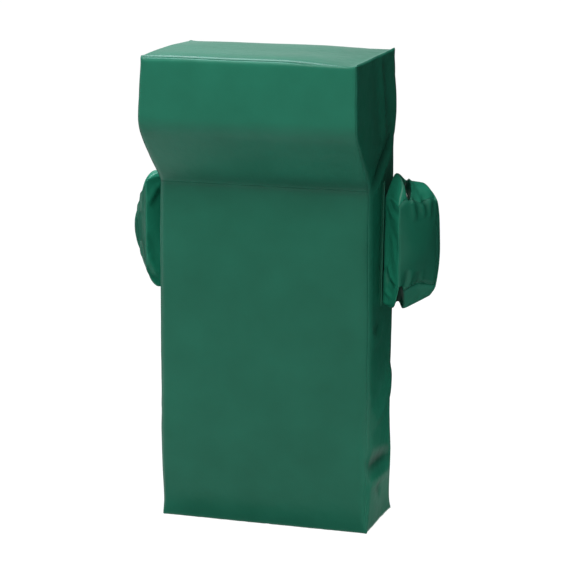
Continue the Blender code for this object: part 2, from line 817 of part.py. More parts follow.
def build_slider():
    """The slider: a tapered plate over the teeth, a skirt down each side and a bridge on top."""
    half_length = SLIDER_LENGTH / 2
    half_width = SLIDER_WIDTH / 2
    low = (-half_width, SLIDER_FLOOR, SLIDER_REST - half_length)
    high = (half_width, SLIDER_TOP, SLIDER_REST + half_length)
    plate = box_shape(low, high)
    for corner in plate.verts:
        if corner.co.z < SLIDER_REST:
            corner.co.x -= math.copysign(SLIDER_TAPER, corner.co.x)
    slider = add_object("zip_slider", to_mesh("zip_slider", plate), ZIP_METAL)
    add_bevel(slider, SLIDER_EDGE, 2)

    skirt_floor = TAPE_TOP + FIT
    skirt_top = SLIDER_TOP - SLIDER_THICKNESS / 2
    skirt_low = SLIDER_REST - SLIDER_EDGE
    skirt_high = SLIDER_REST + half_length - SLIDER_EDGE * 2
    for side_name, side in SIDES:
        inner = SPINE_OFFSET + SPINE_WIDTH + FIT
        edges = sorted((side * inner, side * (inner + SKIRT_WIDTH)))
        skirt = box_cutter(
            "zip_skirt_" + side_name,
            (edges[0], skirt_floor, skirt_low),
            (edges[1], skirt_top, skirt_high),
        )
        combine(slider, skirt, "UNION")

    steps = 8
    root = SLIDER_TOP - SLIDER_THICKNESS / 2
    rise = SLIDER_TOP + BRIDGE_HEIGHT - BRIDGE_RADIUS - root
    points = []
    for step in range(steps + 1):
        angle = math.pi * step / steps
        lift = math.sin(angle) ** 0.5 if 0 < step < steps else 0.0
        z = SLIDER_REST - math.cos(angle) * (BRIDGE_SPAN / 2 - BRIDGE_RADIUS)
        points.append((0.0, root + rise * lift, z))
    bridge = add_guide("zip_bridge", tube_mesh("zip_bridge", points, BRIDGE_RADIUS, 2))
    combine(slider, bridge, "UNION")


def build_pull():
    """The pull tab, whose top bar lies under the slider's bridge; its origin is on that axis."""
    bar = PULL_THICKNESS / 2
    half = PULL_WIDTH / 2
    tip = PULL_TIP_WIDTH / 2
    window = PULL_WINDOW_WIDTH / 2
    outer = [
        (-half, bar),
        (half, bar),
        (half, -bar - PULL_WINDOW_LENGTH),
        (tip, PULL_CORNER - PULL_LENGTH),
        (tip - PULL_CORNER, -PULL_LENGTH),
        (PULL_CORNER - tip, -PULL_LENGTH),
        (-tip, PULL_CORNER - PULL_LENGTH),
        (-half, -bar - PULL_WINDOW_LENGTH),
    ]
    inner = [
        (-window, -bar),
        (window, -bar),
        (window, -bar - PULL_WINDOW_LENGTH),
        (-window, -bar - PULL_WINDOW_LENGTH),
    ]
    curve = outline_curve("zip_pull", [outer, inner], PULL_THICKNESS)
    pull = add_upright("zip_pull", curve, PULL_AXIS, ZIP_METAL)
    pull.location.z = SLIDER_REST


def seat_under(x, half_width, low, high):
    """How far back the bag reaches under a piece that is laid on it."""
    places = [
        (x + half_width * across, low + (high - low) * up / 4)
        for across in (-1, 0, 1)
        for up in range(5)
    ]
    return max(back_surface(*place)[0].y for place in places)


HOLD_LOW = HOLD_HEIGHT - HOLD_SPAN / 2
HOLD_HIGH = HOLD_HEIGHT + HOLD_SPAN / 2
ANCHOR_LENGTH = STRAP_TAIL + STRAP_NECK
PATCH_LOW = HOLD_LOW - ANCHOR_LENGTH - PATCH_MARGIN
PATCH_HIGH = HOLD_HIGH + ANCHOR_LENGTH + PATCH_MARGIN
PATCH_TOP = (
    seat_under(HOLD_OFFSET, STRAP_WIDTH / 2, PATCH_LOW, PATCH_HIGH) + FIT + PATCH_THICKNESS
)
HOLD_AXIS = PATCH_TOP + LOOSE_FIT + CORD_RADIUS
HOLD_REACH = HOLD_STAND_OFF - (HOLD_AXIS - PATCH_TOP)


def build_patch(side_name, side):
    """The vinyl patch sewn under a hand hold, which follows the back of the bag."""
    columns = 4
    rows = 10
    shape = bmesh.new()
    bmesh.ops.create_grid(shape, x_segments=columns, y_segments=rows, size=0.5)
    for corner in shape.verts:
        across = span_share(corner.co.x, -0.5, 0.5) * PATCH_WIDTH / 2
        z = PATCH_LOW + (PATCH_HIGH - PATCH_LOW) * (corner.co.y + 0.5)
        x = side * HOLD_OFFSET + across
        on_edge = abs(across) > PATCH_WIDTH / 2 - MERGE
        if on_edge and min(z - PATCH_LOW, PATCH_HIGH - z) < MERGE:
            x -= math.copysign(PATCH_CORNER / 2, across)
            z += math.copysign(PATCH_CORNER / 2, HOLD_HEIGHT - z)
        point, normal = back_surface(x, z)
        corner.co = point + normal * FIT
    face_outward(shape)
    facing = sum((face.normal.y for face in shape.faces), 0.0)
    if facing < 0:
        bmesh.ops.reverse_faces(shape, faces=shape.faces)
    name = "hold_patch_" + side_name
    mesh = to_mesh(name, shape)
    smooth(mesh)
    patch = add_object(name, mesh, VINYL)
    thicken = patch.modifiers.new("thickness", "SOLIDIFY")
    thicken.thickness = PATCH_THICKNESS
    thicken.offset = 1.0


def build_loop(side_name, side):
    """The webbing loop, folded round, that stands off the back between its two anchors."""
    steps = 7
    lower = [(HOLD_AXIS, HOLD_LOW + FIT)]
    for step in range(steps + 1):
        share = step / steps
        rise = share * share * (3 - 2 * share)
        lower.append((HOLD_AXIS + HOLD_REACH * rise, HOLD_LOW + HOLD_LEAD + HOLD_BEND * share))
    upper = [(y, HOLD_LOW + HOLD_HIGH - z) for y, z in reversed(lower)]
    points = [(0.0, y - HOLD_AXIS, z - HOLD_HEIGHT) for y, z in lower + upper]
    name = "hold_loop_" + side_name
    mesh = tube_mesh(name, points, CORD_RADIUS, 2)
    smooth(mesh)
    loop = add_object(name, mesh, WEBBING)
    loop.location = (side * HOLD_OFFSET, HOLD_AXIS, HOLD_HEIGHT)
    return loop


def build_grip(side_name, loop):
    """The padded sleeve round the straight part of a loop."""
    bore = CORD_RADIUS + FIT
    half = GRIP_LENGTH / 2
    middle = GRIP_RADIUS + GRIP_SWELL
    outline = [
        (GRIP_RADIUS - GRIP_EDGE, half),
        (GRIP_RADIUS, half - GRIP_EDGE),
        (middle, 0.0),
        (GRIP_RADIUS, GRIP_EDGE - half),
        (GRIP_RADIUS - GRIP_EDGE, -half),
        (bore, -half),
        (bore, half),
    ]
    grip = turned_piece("hold_grip_" + side_name, outline, 20, RUBBER)
    grip.parent = loop
    grip.location = (0.0, HOLD_REACH, 0.0)


def turned_piece(name, outline, steps, finish):
    """A ring turned from a closed outline of (radius, height) points."""
    shape = bmesh.new()
    corners = [shape.verts.new((radius, 0.0, height)) for radius, height in outline]
    for start, end in zip(corners, corners[1:] + corners[:1]):
        shape.edges.new((start, end))
    piece = add_object(name, to_mesh(name, shape), finish)
    turn = piece.modifiers.new("turn", "SCREW")
    turn.axis = "Z"
    turn.steps = steps
    turn.render_steps = steps
    turn.use_merge_vertices = True
    turn.merge_threshold = MERGE
    turn.use_smooth_shade = True
    return piece


def ring_of(shape, width, thickness, power, centre, z):
    """A closed ring of corners: round at power 2, and squarer as the power grows."""
    corners = 16
    ring = []
    for step in range(corners):
        angle = 2 * math.pi * (step + 0.5) / corners
        across = math.copysign(abs(math.cos(angle)) ** (2 / power), math.cos(angle))
        through = math.copysign(abs(math.sin(angle)) ** (2 / power), math.sin(angle))
        place = (centre.x + across * width / 2, centre.y + through * thickness / 2, z)
        ring.append(shape.verts.new(place))
    return ring


def build_anchor(name, side, end):
    """A strap's sewn end: the flat, folded tail, gathered in to the round of the loop."""
    x = side * HOLD_OFFSET
    start = HOLD_HIGH if end > 0 else HOLD_LOW
    flat_centre = PATCH_TOP + LOOSE_FIT + STRAP_THICKNESS / 2
    cord = 2 * CORD_RADIUS
    end_width = STRAP_WIDTH - 2 * STRAP_EDGE
    middle_width = STRAP_WIDTH * GATHER_SHARE
    middle_thickness = cord * GATHER_SHARE
    middle_centre = PATCH_TOP + LOOSE_FIT + middle_thickness / 2
    round_end = (cord, cord, ROUND_POWER, HOLD_AXIS)
    tail = (STRAP_WIDTH, STRAP_THICKNESS, FLAT_POWER, flat_centre)
    # Each station: how far out from the loop's end, then width, thickness, squareness and depth
    stations = (
        (FIT, *round_end),
        (STRAP_NECK / 4, *round_end),
        (
            STRAP_NECK * GATHER_PLACE_SHARE,
            middle_width,
            middle_thickness,
            GATHER_POWER,
            middle_centre,
        ),
        (STRAP_NECK, *tail),
        (ANCHOR_LENGTH - STRAP_EDGE, *tail),
        (ANCHOR_LENGTH, end_width, STRAP_THICKNESS / 2, FLAT_POWER, flat_centre),
    )
    shape = bmesh.new()
    rings = []
    for distance, width, thickness, power, depth in stations:
        centre = Vector((x, depth, 0.0))
        rings.append(ring_of(shape, width, thickness, power, centre, start + end * distance))
    for near, far in zip(rings, rings[1:]):
        for i, corner in enumerate(near):
            j = (i + 1) % len(near)
            shape.faces.new((corner, near[j], far[j], far[i]))
    shape.faces.new(rings[0])
    shape.faces.new(rings[-1])
    face_outward(shape)
    mesh = to_mesh(name, shape)
    smooth(mesh)
    add_object(name, mesh, WEBBING)


def build_hand_hold(side_name, side):
    """A hand hold: the patch, the two anchors, and the loop with its grip."""
    build_patch(side_name, side)
    build_anchor("hold_anchor_upper_" + side_name, side, 1.0)
    build_anchor("hold_anchor_lower_" + side_name, side, -1.0)
    build_grip(side_name, build_loop(side_name, side))


def build_eyelets():
    """Four brass eyelets: a flange outside the panel, a barrel through it, a washer inside."""
    under = -SKIN - FIT
    outline = [
        (EYELET_FLANGE - EYELET_METAL / 2, FIT + EYELET_METAL),
        (EYELET_FLANGE, FIT + EYELET_METAL / 2),
        (EYELET_FLANGE, FIT),
        (EYELET_BARREL, FIT),
        (EYELET_BARREL, under),
        (EYELET_WASHER, under),
        (EYELET_WASHER, under - EYELET_METAL),
        (EYELET_HOLE, under - EYELET_METAL),
        (EYELET_HOLE, FIT + EYELET_METAL),
    ]
    for name, place in eyelet_places():
        eyelet = turned_piece("eyelet_" + name, outline, 16, BRASS)
        eyelet.matrix_world = place


build_cover()
build_foam()
for wing_name, wing_side in SIDES:
    build_welt(wing_name, wing_side)
    build_wing(wing_name, wing_side)
build_zip_rows()
build_slider()
build_pull()
for hold_name, hold_side in SIDES:
    build_hand_hold(hold_name, hold_side)
build_eyelets()
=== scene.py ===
"""The looks of a hand-held tackle dummy: sewn vinyl covers over foam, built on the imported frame.

Metres, +Z up. The front faces -Y, and left is the side towards -X."""

import math
from itertools import combinations, product

import bmesh
import bpy
import numpy as np
from mathutils import Matrix, Vector, noise
from mathutils.bvhtree import BVHTree


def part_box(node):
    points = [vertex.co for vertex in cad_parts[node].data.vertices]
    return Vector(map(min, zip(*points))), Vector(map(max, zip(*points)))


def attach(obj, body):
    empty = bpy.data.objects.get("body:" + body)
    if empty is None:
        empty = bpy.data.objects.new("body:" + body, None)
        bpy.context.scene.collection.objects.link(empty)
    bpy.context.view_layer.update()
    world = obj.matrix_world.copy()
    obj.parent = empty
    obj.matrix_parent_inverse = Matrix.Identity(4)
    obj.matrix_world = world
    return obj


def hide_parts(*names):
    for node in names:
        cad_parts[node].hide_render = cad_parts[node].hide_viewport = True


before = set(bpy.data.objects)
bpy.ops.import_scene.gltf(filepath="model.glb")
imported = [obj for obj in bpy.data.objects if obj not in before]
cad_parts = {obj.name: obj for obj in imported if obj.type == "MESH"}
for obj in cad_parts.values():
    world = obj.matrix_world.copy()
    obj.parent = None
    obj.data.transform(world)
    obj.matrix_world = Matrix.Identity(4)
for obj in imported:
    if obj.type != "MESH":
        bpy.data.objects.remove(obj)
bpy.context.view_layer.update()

# The bag's nominal form, from the frame
HALF_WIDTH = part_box("top_panel")[1].x
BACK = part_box("side_panel_right")[1].y
FRONT = -BACK
HEAD_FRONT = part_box("side_panel_right")[0].y
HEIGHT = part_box("side_panel_right")[1].z
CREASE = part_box("head_front_panel")[0].z
SLOPE_RISE = 0.110
BACKING_THICKNESS = 0.025

# How the stuffing fills the covers
BODY_CROWN = 0.0065
HEAD_CROWN = 0.0040
TOP_CROWN = 0.0058
TOP_SAG = 0.0040
TOP_SAG_START = 0.30
TOP_SAG_EDGE = 0.06
TOP_BACK_RISE = 0.0018
TOP_FRONT_RISE = 0.0030
TOP_FRONT_REACH = 0.0700
TOP_LEFT_RISE = 0.0060
TOP_LEFT_START = 0.2
SIDE_CROWN = 0.0042
BODY_SWELL = 0.0010
HEAD_SWELLS = {"left": 0.0066, "right": 0.0012}
BASE_TUCK = 0.0006
BASE_TUCK_RISE = 0.088
SLOPE_ROUNDING_SHARE = 0.15
CREASE_ROUNDING_SHARE = 0.030
# Painted shade along the crease under the head: how dark at its left and right ends, how far above the crease
# it lies, and how far it reaches
CREASE_SHADE_SHARES = (0.20, 0.38)
CREASE_SHADE_RISE = 0.0080
CREASE_SHADE_REACH = 0.0150
WAVE_FADE = 1.4

# How far an edge waves out at each share of the height: the left side's front, the right's back
LEFT_WAVE = (
    (0.00, 0.0042), (0.05, 0.0044), (0.08, 0.0044), (0.12, 0.0060), (0.16, 0.0064), (0.20, 0.0054),
    (0.29, 0.0044), (0.60, 0.0040), (0.72, 0.0034), (0.80, 0.0008), (1.00, 0.0000),
)
RIGHT_WAVE = (
    (0.00, 0.0034), (0.03, -0.0026), (0.08, 0.0016), (0.13, 0.0022), (0.20, -0.0026), (0.30, -0.0022),
    (0.43, 0.0008), (0.66, 0.0020), (0.76, 0.0012), (0.80, -0.0006), (0.88, 0.0020), (1.00, 0.0006),
)
EAR = 0.0020
EAR_REACH = 0.0080
# How much of an ear points each way
EAR_SHARES = {"left": 0.2, "right": 0.6, "front": 0.5, "back": 0.4, "bottom": 0.0, "top": 0.7}

# Seams and vinyl
VINYL_THICKNESS = 0.0012
GROOVE_DEPTH = 0.0005
GROOVE_WIDTH = 0.0018
ROLLED = 0.0042
PUCKER_DEPTH = 0.0007
PUCKER_REACH = 0.0090
PUCKER_PITCH = 0.0110
EDGE_REACH = 0.0060
# A fold's depth at which its painted shade is full
DEEP_FOLD = 0.0085
FINE = 0.0013
COARSE = 0.0068
SPREAD = 0.022
FLANK = 1.6
SEAM_PUCKER = 0.1
SHARP_ANGLE = math.radians(40.0)

# The zip's slot and the eyelets' holes
SLOT_HALF_WIDTH = 0.0065
SLOT_MARGIN = 0.0010
SLOT_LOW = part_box("zip_bottom_stop")[0].z - SLOT_MARGIN
SLOT_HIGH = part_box("zip_top_stop")[1].z + SLOT_MARGIN
EYELET_HOLE = 0.0052
EYELETS = tuple(row + side for row in ("eyelet_lower_", "eyelet_upper_") for side in ("left", "right"))

SIDES = (("left", -1.0), ("right", 1.0))
BOX_SIDES = ("left", "right", "front", "back", "bottom", "top")
PAD_SIDES = ("root", "tip", "inner", "outer", "foot", "crest")
BOX_WAYS = [sign * np.eye(3)[axis] for axis in range(3) for sign in (-1, 1)]
UP = BOX_WAYS[-1]
TAU = 2 * math.pi


def smoothstep(share):
    """0 below 0, 1 above 1, and smooth between."""
    share = np.clip(share, 0.0, 1.0)
    return share * share * (3 - 2 * share)


def graded(stops, fine=FINE, coarse=COARSE, spread=SPREAD):
    """Places from the first stop to the last, fine apart at each stop and coarse away from them."""
    samples = 400
    places = [stops[0]]
    for low, high in zip(stops, stops[1:]):
        line = np.linspace(low, high, samples)
        away = np.minimum(line - low, high - line)
        density = 1 / np.minimum(fine + (coarse - fine) * away / spread, coarse)
        steps = (density[1:] + density[:-1]) / 2 * np.diff(line)
        count = np.concatenate([[0.0], np.cumsum(steps)])
        cells = max(math.ceil(count[-1]), 1)
        places.extend(np.interp(np.arange(1, cells) / cells * count[-1], count, line))
        places.append(high)
    return np.array(places)


def graded_share(size, fine=FINE, coarse=COARSE):
    """Places from 0 to 1 along a size, graded by lengths of it."""
    return graded((0.0, 1.0), fine / size, coarse / size, SPREAD / size)


def bell(value, width):
    """1 at 0, and smoothly less on both sides of it over a width."""
    return np.exp(-((value / width) ** 2))


def run_lengths(points):
    """How far along a line of points each one is."""
    return np.concatenate([[0.0], np.cumsum(np.linalg.norm(np.diff(points, axis=0), axis=1))])


def circle(corners):
    """The cosine and sine of each corner of a ring."""
    return [(math.cos(TAU * k / corners), math.sin(TAU * k / corners)) for k in range(corners)]


def box_middle(name):
    """The middle of a node's box, and half its size each way."""
    low, high = (np.array(corner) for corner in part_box(name))
    return (low + high) / 2, (high - low) / 2


def dome(across, along, power=4):
    """A stuffed panel's height: 1 over its middle, rolling down to 0 at its seams."""
    return (1 - np.abs(across) ** power) * (1 - np.abs(along) ** power)


def arch(value, low, high):
    """A low arch that is 0 at both ends of a span and outside it."""
    share = np.clip((value - low) / (high - low), 0.0, 1.0)
    return 4 * share * (1 - share)


def soft_noise(points, pitch, offset):
    """Smooth noise from about -1 to 1, whose bumps are a pitch apart."""
    shift = Vector((offset, offset, offset))
    return np.array([noise.noise(Vector(point) / pitch + shift) for point in points])


def smooth_curve(place, table, column=1):
    """A smooth line through one column of a table, whose first column is the place."""
    places = np.array([row[0] for row in table])
    values = np.array([row[column] for row in table])
    samples = 200
    kernel = 21
    line = np.linspace(0.0, 1.0, samples)
    raw = np.interp(line, places, values)
    padded = np.concatenate([2 * raw[0] - raw[kernel:0:-1], raw, 2 * raw[-1] - raw[-2:-kernel - 2:-1]])
    soft = np.convolve(padded, np.ones(kernel) / kernel, "same")[kernel:-kernel]
    return np.interp(place, line, soft)


def line_distance(u, v, points):
    """How far each place is from a line, signed to its left, and how far along the line it is."""
    best = np.full(len(u), np.inf)
    signed = np.zeros(len(u))
    along = np.zeros(len(u))
    points = np.array(points)
    lengths = np.linalg.norm(np.diff(points, axis=0), axis=1)
    done = np.concatenate([[0.0], np.cumsum(lengths)])
    for i, length in enumerate(lengths):
        start = points[i]
        way = (points[i + 1] - start) / length
        rest_u = u - start[0]
        rest_v = v - start[1]
        place = np.clip(rest_u * way[0] + rest_v * way[1], 0.0, length)
        gap = np.hypot(rest_u - way[0] * place, rest_v - way[1] * place)
        near = gap < best
        side = np.where(way[0] * rest_v - way[1] * rest_u >= 0, 1.0, -1.0)
        best = np.where(near, gap, best)
        signed = np.where(near, gap * side, signed)
        along = np.where(near, (done[i] + place) / done[-1], along)
    return signed, along


class Form:
    """The surface of a box of points, each knowing the sides it lies on and how far the others are."""

    def __init__(self, axes, names):
        shape = tuple(len(axis) for axis in axes)
        skin = np.zeros(shape, bool)
        for axis in range(3):
            for end in (0, -1):
                skin[(slice(None),) * axis + (end,)] = True
        index = np.full(shape, -1)
        index[skin] = np.arange(skin.sum())
        cells = np.argwhere(skin)
        self.names = names
        self.shares = np.stack([axes[axis][cells[:, axis]] for axis in range(3)], 1)
        self.on = {}
        self.quads = {}
        for axis in range(3):
            for end in (0, 1):
                name = names[2 * axis + end]
                self.on[name] = cells[:, axis] == end * (shape[axis] - 1)
                grid = index[(slice(None),) * axis + (-end,)]
                corners = (grid[:-1, :-1], grid[1:, :-1], grid[1:, 1:], grid[:-1, 1:])
                quads = np.stack([corner.ravel() for corner in corners], 1)
                flip = (end == 0) != (axis == 1)
                self.quads[name] = quads[:, ::-1] if flip else quads
        self.points = self.shares.copy()
        # How much painted shade darkens each point's colour
        self.painted_shade = np.zeros(len(self.points))

    def describe(self, away, ways, flats):
        """Take in how far off each side is, which way it faces, and each axis' flat places."""
        self.away = dict(zip(self.names, away))
        self.normal = dict(zip(self.names, ways))
        self.flat = {name: flats[number // 2] for number, name in enumerate(self.names)}

    def push(self, name, amount, reach=EDGE_REACH):
        """Move a side out by an amount, and draw the edges round it along."""
        self.points += self.normal[name] * (amount * bell(self.away[name], reach))[:, None]

    def crown(self, name, height):
        """Push out a side's own points."""
        self.push(name, np.where(self.on[name], height, 0.0))

    def paint_shade(self, name, shade_share):
        """Paint shade onto a side: darken its colour by a share, where it isn't darker already."""
        self.painted_shade = np.where(self.on[name], np.maximum(self.painted_shade, shade_share), self.painted_shade)

    def fold(self, name, points, height, width, lean):
        """A ridge along a line on a side, with a trough on one flank, fading at both ends; painted shade
        darkens the trough, or the line itself where the fold goes in.
        """
        signed, along = line_distance(*self.flat[name], points)
        ridge = bell(signed, width)
        trough = bell(signed - FLANK * width, width)
        fade = np.sin(np.clip(along, 0.0, 1.0) * math.pi) ** 0.5
        self.push(name, height * fade * (ridge - lean * trough))
        self.paint_shade(name, fade * (lean * trough if height > 0 else ridge) * abs(height) / DEEP_FOLD)

    def ripple(self, name, height, pitch, stretch, offset):
        """Shallow waves of the vinyl on a side: pitch apart, and longer one way by a stretch."""
        u, v = self.flat[name]
        places = np.stack([u, v / stretch, np.zeros(len(u))], 1)
        self.push(name, height * soft_noise(places, pitch, offset))

    def sew(self, seams, pucker_offset, groove=GROOVE_DEPTH, pucker=PUCKER_DEPTH):
        """Round the edges between sides to their radii, with a sewn groove and small puckers."""
        sunk = {name: np.zeros(len(self.points)) for name in self.names}
        wave = soft_noise(self.points, PUCKER_PITCH, pucker_offset)
        for pair, radius in seams.items():
            for own, other in (pair, pair[::-1]):
                away = self.away[other]
                share = np.clip(away / radius, 0.0, 1.0)
                turn = math.pi / 4 * (1 - share)
                sink = radius * (1 - np.cos(turn))
                shown = bell(radius, ROLLED)
                sink = sink + groove * shown * bell(away, GROOVE_WIDTH)
                sink = sink + pucker * (SEAM_PUCKER + shown) * wave * np.exp(-away / PUCKER_REACH)
                slide = radius * (1 - np.sin(turn)) - share * radius
                sunk[own] = np.where(self.on[own], np.maximum(sunk[own], sink), sunk[own])
                slid = np.maximum(sunk[other], slide)
                sunk[other] = np.where(self.on[own] & (share < 1), slid, sunk[other])
        for name in self.names:
            self.points -= self.normal[name] * sunk[name][:, None]

    def wear(self, pairs):
        """How near each point is to a seam, from 0 to 1."""
        near = np.zeros(len(self.points))
        for pair in pairs:
            for own, other in (pair, pair[::-1]):
                close = np.exp(-self.away[other] / PUCKER_REACH)
                near = np.where(self.on[own], np.maximum(near, close), near)
        return near


def link(name, data):
    """A new object in the scene."""
    made = bpy.data.objects.new(name, data)
    bpy.context.scene.collection.objects.link(made)
    return made


def shape_object(name, shape):
    """A new object from a bmesh shape, which is freed."""
    mesh = bpy.data.meshes.new(name)
    shape.to_mesh(mesh)
    shape.free()
    return link(name, mesh)


def mesh_object(name, points, faces, material):
    """A new object from points and faces, shaded smooth apart from its sharp edges."""
    mesh = bpy.data.meshes.new(name)
    mesh.from_pydata([tuple(point) for point in points], [], [tuple(face) for face in faces])
    mesh.shade_smooth()
    mesh.set_sharp_from_angle(angle=SHARP_ANGLE)
    mesh.materials.append(material)
    return link(name, mesh)


def ring_faces(rows, corners, first=0, order=(0, 1, 2, 3), closed=False):
    """The quads between rings of corners, each with its own corners in a given order."""
    faces = []
    for row in range(rows if closed else rows - 1):
        start = first + row * corners
        end = first + (row + 1) % rows * corners
        for i in range(corners):
            j = (i + 1) % corners
            quad = (start + i, start + j, end + j, end + i)
            faces.append(tuple(quad[k] for k in order))
    return faces


def apply_modifiers(piece):
    """Turn an object's modifiers into its mesh."""
    bpy.context.view_layer.update()
    depsgraph = bpy.context.evaluated_depsgraph_get()
    mesh = bpy.data.meshes.new_from_object(piece.evaluated_get(depsgraph))
    piece.modifiers.clear()
    piece.data = mesh


def tube(name, rings, material):
    """A closed solid through rings of points, with a UV map in metres round it and along it."""
    rings = np.array(rings)
    count, corners, _ = rings.shape
    faces = ring_faces(count, corners)
    faces.append(tuple(range(corners))[::-1])
    faces.append(tuple(range((count - 1) * corners, count * corners)))
    made = mesh_object(name, rings.reshape(-1, 3), faces, material)
    along = run_lengths(rings.mean(1))
    width = np.linalg.norm(np.roll(rings[0], -1, 0) - rings[0], axis=1).sum()
    layer = made.data.uv_layers.new(name="weave")
    places = []
    for face in made.data.polygons:
        columns = [corner % corners for corner in face.vertices]
        wrapped = len(columns) == 4 and corners - 1 in columns
        for corner, column in zip(face.vertices, columns):
            turn = corners if wrapped and column == 0 else column
            places.extend((turn / corners * width, along[corner // corners]))
    layer.data.foreach_set("uv", places)
    return made


def settle(piece, body, replaced=()):
    """Hang a finished piece on the body it rides on, and hide the CAD nodes it stands for."""
    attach(piece, body)
    if replaced:
        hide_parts(*replaced)


def add(tree, kind, inputs=(), **settings):
    """A shader node with its settings, and its inputs set or linked."""
    made = tree.nodes.new("ShaderNode" + kind)
    for key, value in settings.items():
        setattr(made, key, value)
    for key, value in dict(inputs).items():
        if isinstance(value, bpy.types.NodeSocket):
            tree.links.new(value, made.inputs[key])
        else:
            made.inputs[key].default_value = value
    return made


def new_material(name, roughness, metallic=0.0, specular=0.5):
    """An empty material with a Principled shader, its node tree and that shader."""
    made = bpy.data.materials.new(name)
    made.use_nodes = True
    tree = made.node_tree
    shader = tree.nodes["Principled BSDF"]
    shader.inputs["Roughness"].default_value = roughness
    shader.inputs["Metallic"].default_value = metallic
    shader.inputs["Specular IOR Level"].default_value = specular
    return made, tree, shader


def shades(tree, fraction, start, end):
    """A colour between two, each plain or from another node, by a value from 0 to 1."""
    mix = add(tree, "Mix", data_type="RGBA")
    tree.links.new(fraction, mix.inputs["Factor"])
    for key, colour in (("A", start), ("B", end)):
        socket = next(s for s in mix.inputs if s.name == key and s.type == "RGBA")
        if isinstance(colour, bpy.types.NodeSocket):
            tree.links.new(colour, socket)
        else:
            socket.default_value = (*colour, 1.0)
    return next(s for s in mix.outputs if s.type == "RGBA")


def between(tree, value, low, high, source=(0.0, 1.0)):
    """A value moved from its own range to another."""
    limits = {"From Min": source[0], "From Max": source[1], "To Min": low, "To Max": high}
    return add(tree, "MapRange", {"Value": value, **limits}).outputs["Result"]


def speckle(tree, vector, pitch, detail=2.0, rough=0.5):
    """Noise whose bumps are a pitch apart."""
    inputs = {"Vector": vector, "Scale": 1 / pitch, "Detail": detail, "Roughness": rough}
    return add(tree, "TexNoise", inputs).outputs["Fac"]


def bands(tree, vector, direction, pitch):
    """Soft bands a pitch apart."""
    turns_per_unit = 20.0
    inputs = {"Vector": vector, "Scale": TAU / (turns_per_unit * pitch)}
    made = add(tree, "TexWave", inputs, wave_type="BANDS", bands_direction=direction)
    return made.outputs["Fac"]


def bump(tree, height, distance, under=None):
    """A bump of a height map, on top of another one."""
    inputs = {"Height": height, "Distance": distance}
    if under is not None:
        inputs["Normal"] = under
    return add(tree, "Bump", inputs).outputs["Normal"]


def object_vector(tree):
    """A point's place on its own piece."""
    return add(tree, "TexCoord").outputs["Object"]


VINYL_DARK = (0.0060, 0.094, 0.054)
VINYL_LIGHT = (0.0082, 0.110, 0.065)
VINYL_WORN = (0.0160, 0.128, 0.082)
# The near-black green that painted shade darkens the vinyl towards
VINYL_PAINTED_SHADE = (0.0010, 0.0120, 0.0070)
CLOUD_PITCH = 0.09
SMEAR_PITCH = 0.018
DENT_PITCH = 0.020
DENT_DEPTH = 0.0006
GRAIN_PITCH = 0.0011
GRAIN_DEPTH = 0.00009


def vinyl_material(name, tint=1.0):
    """Green coated vinyl: a fine pressed grain, faint smears, paler where its seams rub, and painted shade in
    its creases, folds and pockets; a tint above 1 makes a lighter copy that paints light.
    """
    made, tree, shader = new_material(name, 0.30, specular=0.17)
    dark, light, worn_colour = (tuple(c * tint for c in row) for row in (VINYL_DARK, VINYL_LIGHT, VINYL_WORN))
    place = object_vector(tree)
    cloudy = speckle(tree, place, CLOUD_PITCH, 3.0)
    smears = speckle(tree, place, SMEAR_PITCH, 4.0, 0.6)
    colour = shades(tree, between(tree, cloudy, 0.0, 1.0, (0.3, 0.7)), dark, light)
    worn = add(tree, "Attribute", attribute_name="wear").outputs["Fac"]
    rubbed = add(tree, "Math", {0: worn, 1: smears}, operation="MULTIPLY").outputs["Value"]
    rubbed_colour = shades(tree, between(tree, rubbed, 0.0, 0.40, (0.25, 0.75)), colour, worn_colour)
    # Painted shade: the colour darkens towards the near-black green by each point's share
    painted_shade = add(tree, "Attribute", attribute_name="painted_shade").outputs["Fac"]
    shaded_colour = shades(tree, between(tree, painted_shade, 0.0, 0.95), rubbed_colour, VINYL_PAINTED_SHADE)
    tree.links.new(shaded_colour, shader.inputs["Base Color"])
    shine = add(tree, "Math", {0: between(tree, smears, 0.25, 0.36), 1: between(tree, rubbed, 0.0, 0.10)})
    tree.links.new(shine.outputs["Value"], shader.inputs["Roughness"])
    grain = add(tree, "TexVoronoi", {"Vector": place, "Scale": 1 / GRAIN_PITCH}, feature="SMOOTH_F1")
    dents = speckle(tree, place, DENT_PITCH, 2.0)
    lower = bump(tree, dents, DENT_DEPTH)
    tree.links.new(bump(tree, grain.outputs["Distance"], GRAIN_DEPTH, lower), shader.inputs["Normal"])
    return made


def foam_material(name, dark, light, cell):
    """Open foam: pale or dark, with its cells as a rough bump."""
    made, tree, shader = new_material(name, 0.95, specular=0.2)
    place = object_vector(tree)
    cells = add(tree, "TexVoronoi", {"Vector": place, "Scale": 1 / cell}, feature="F1")
    tone = add(tree, "Math", {0: cells.outputs["Distance"], 1: speckle(tree, place, 0.03)})
    colour = shades(tree, between(tree, tone.outputs["Value"], 0.0, 1.0, (0.4, 1.2)), dark, light)
    tree.links.new(colour, shader.inputs["Base Color"])
    tree.links.new(bump(tree, cells.outputs["Distance"], cell / 3), shader.inputs["Normal"])
    return made


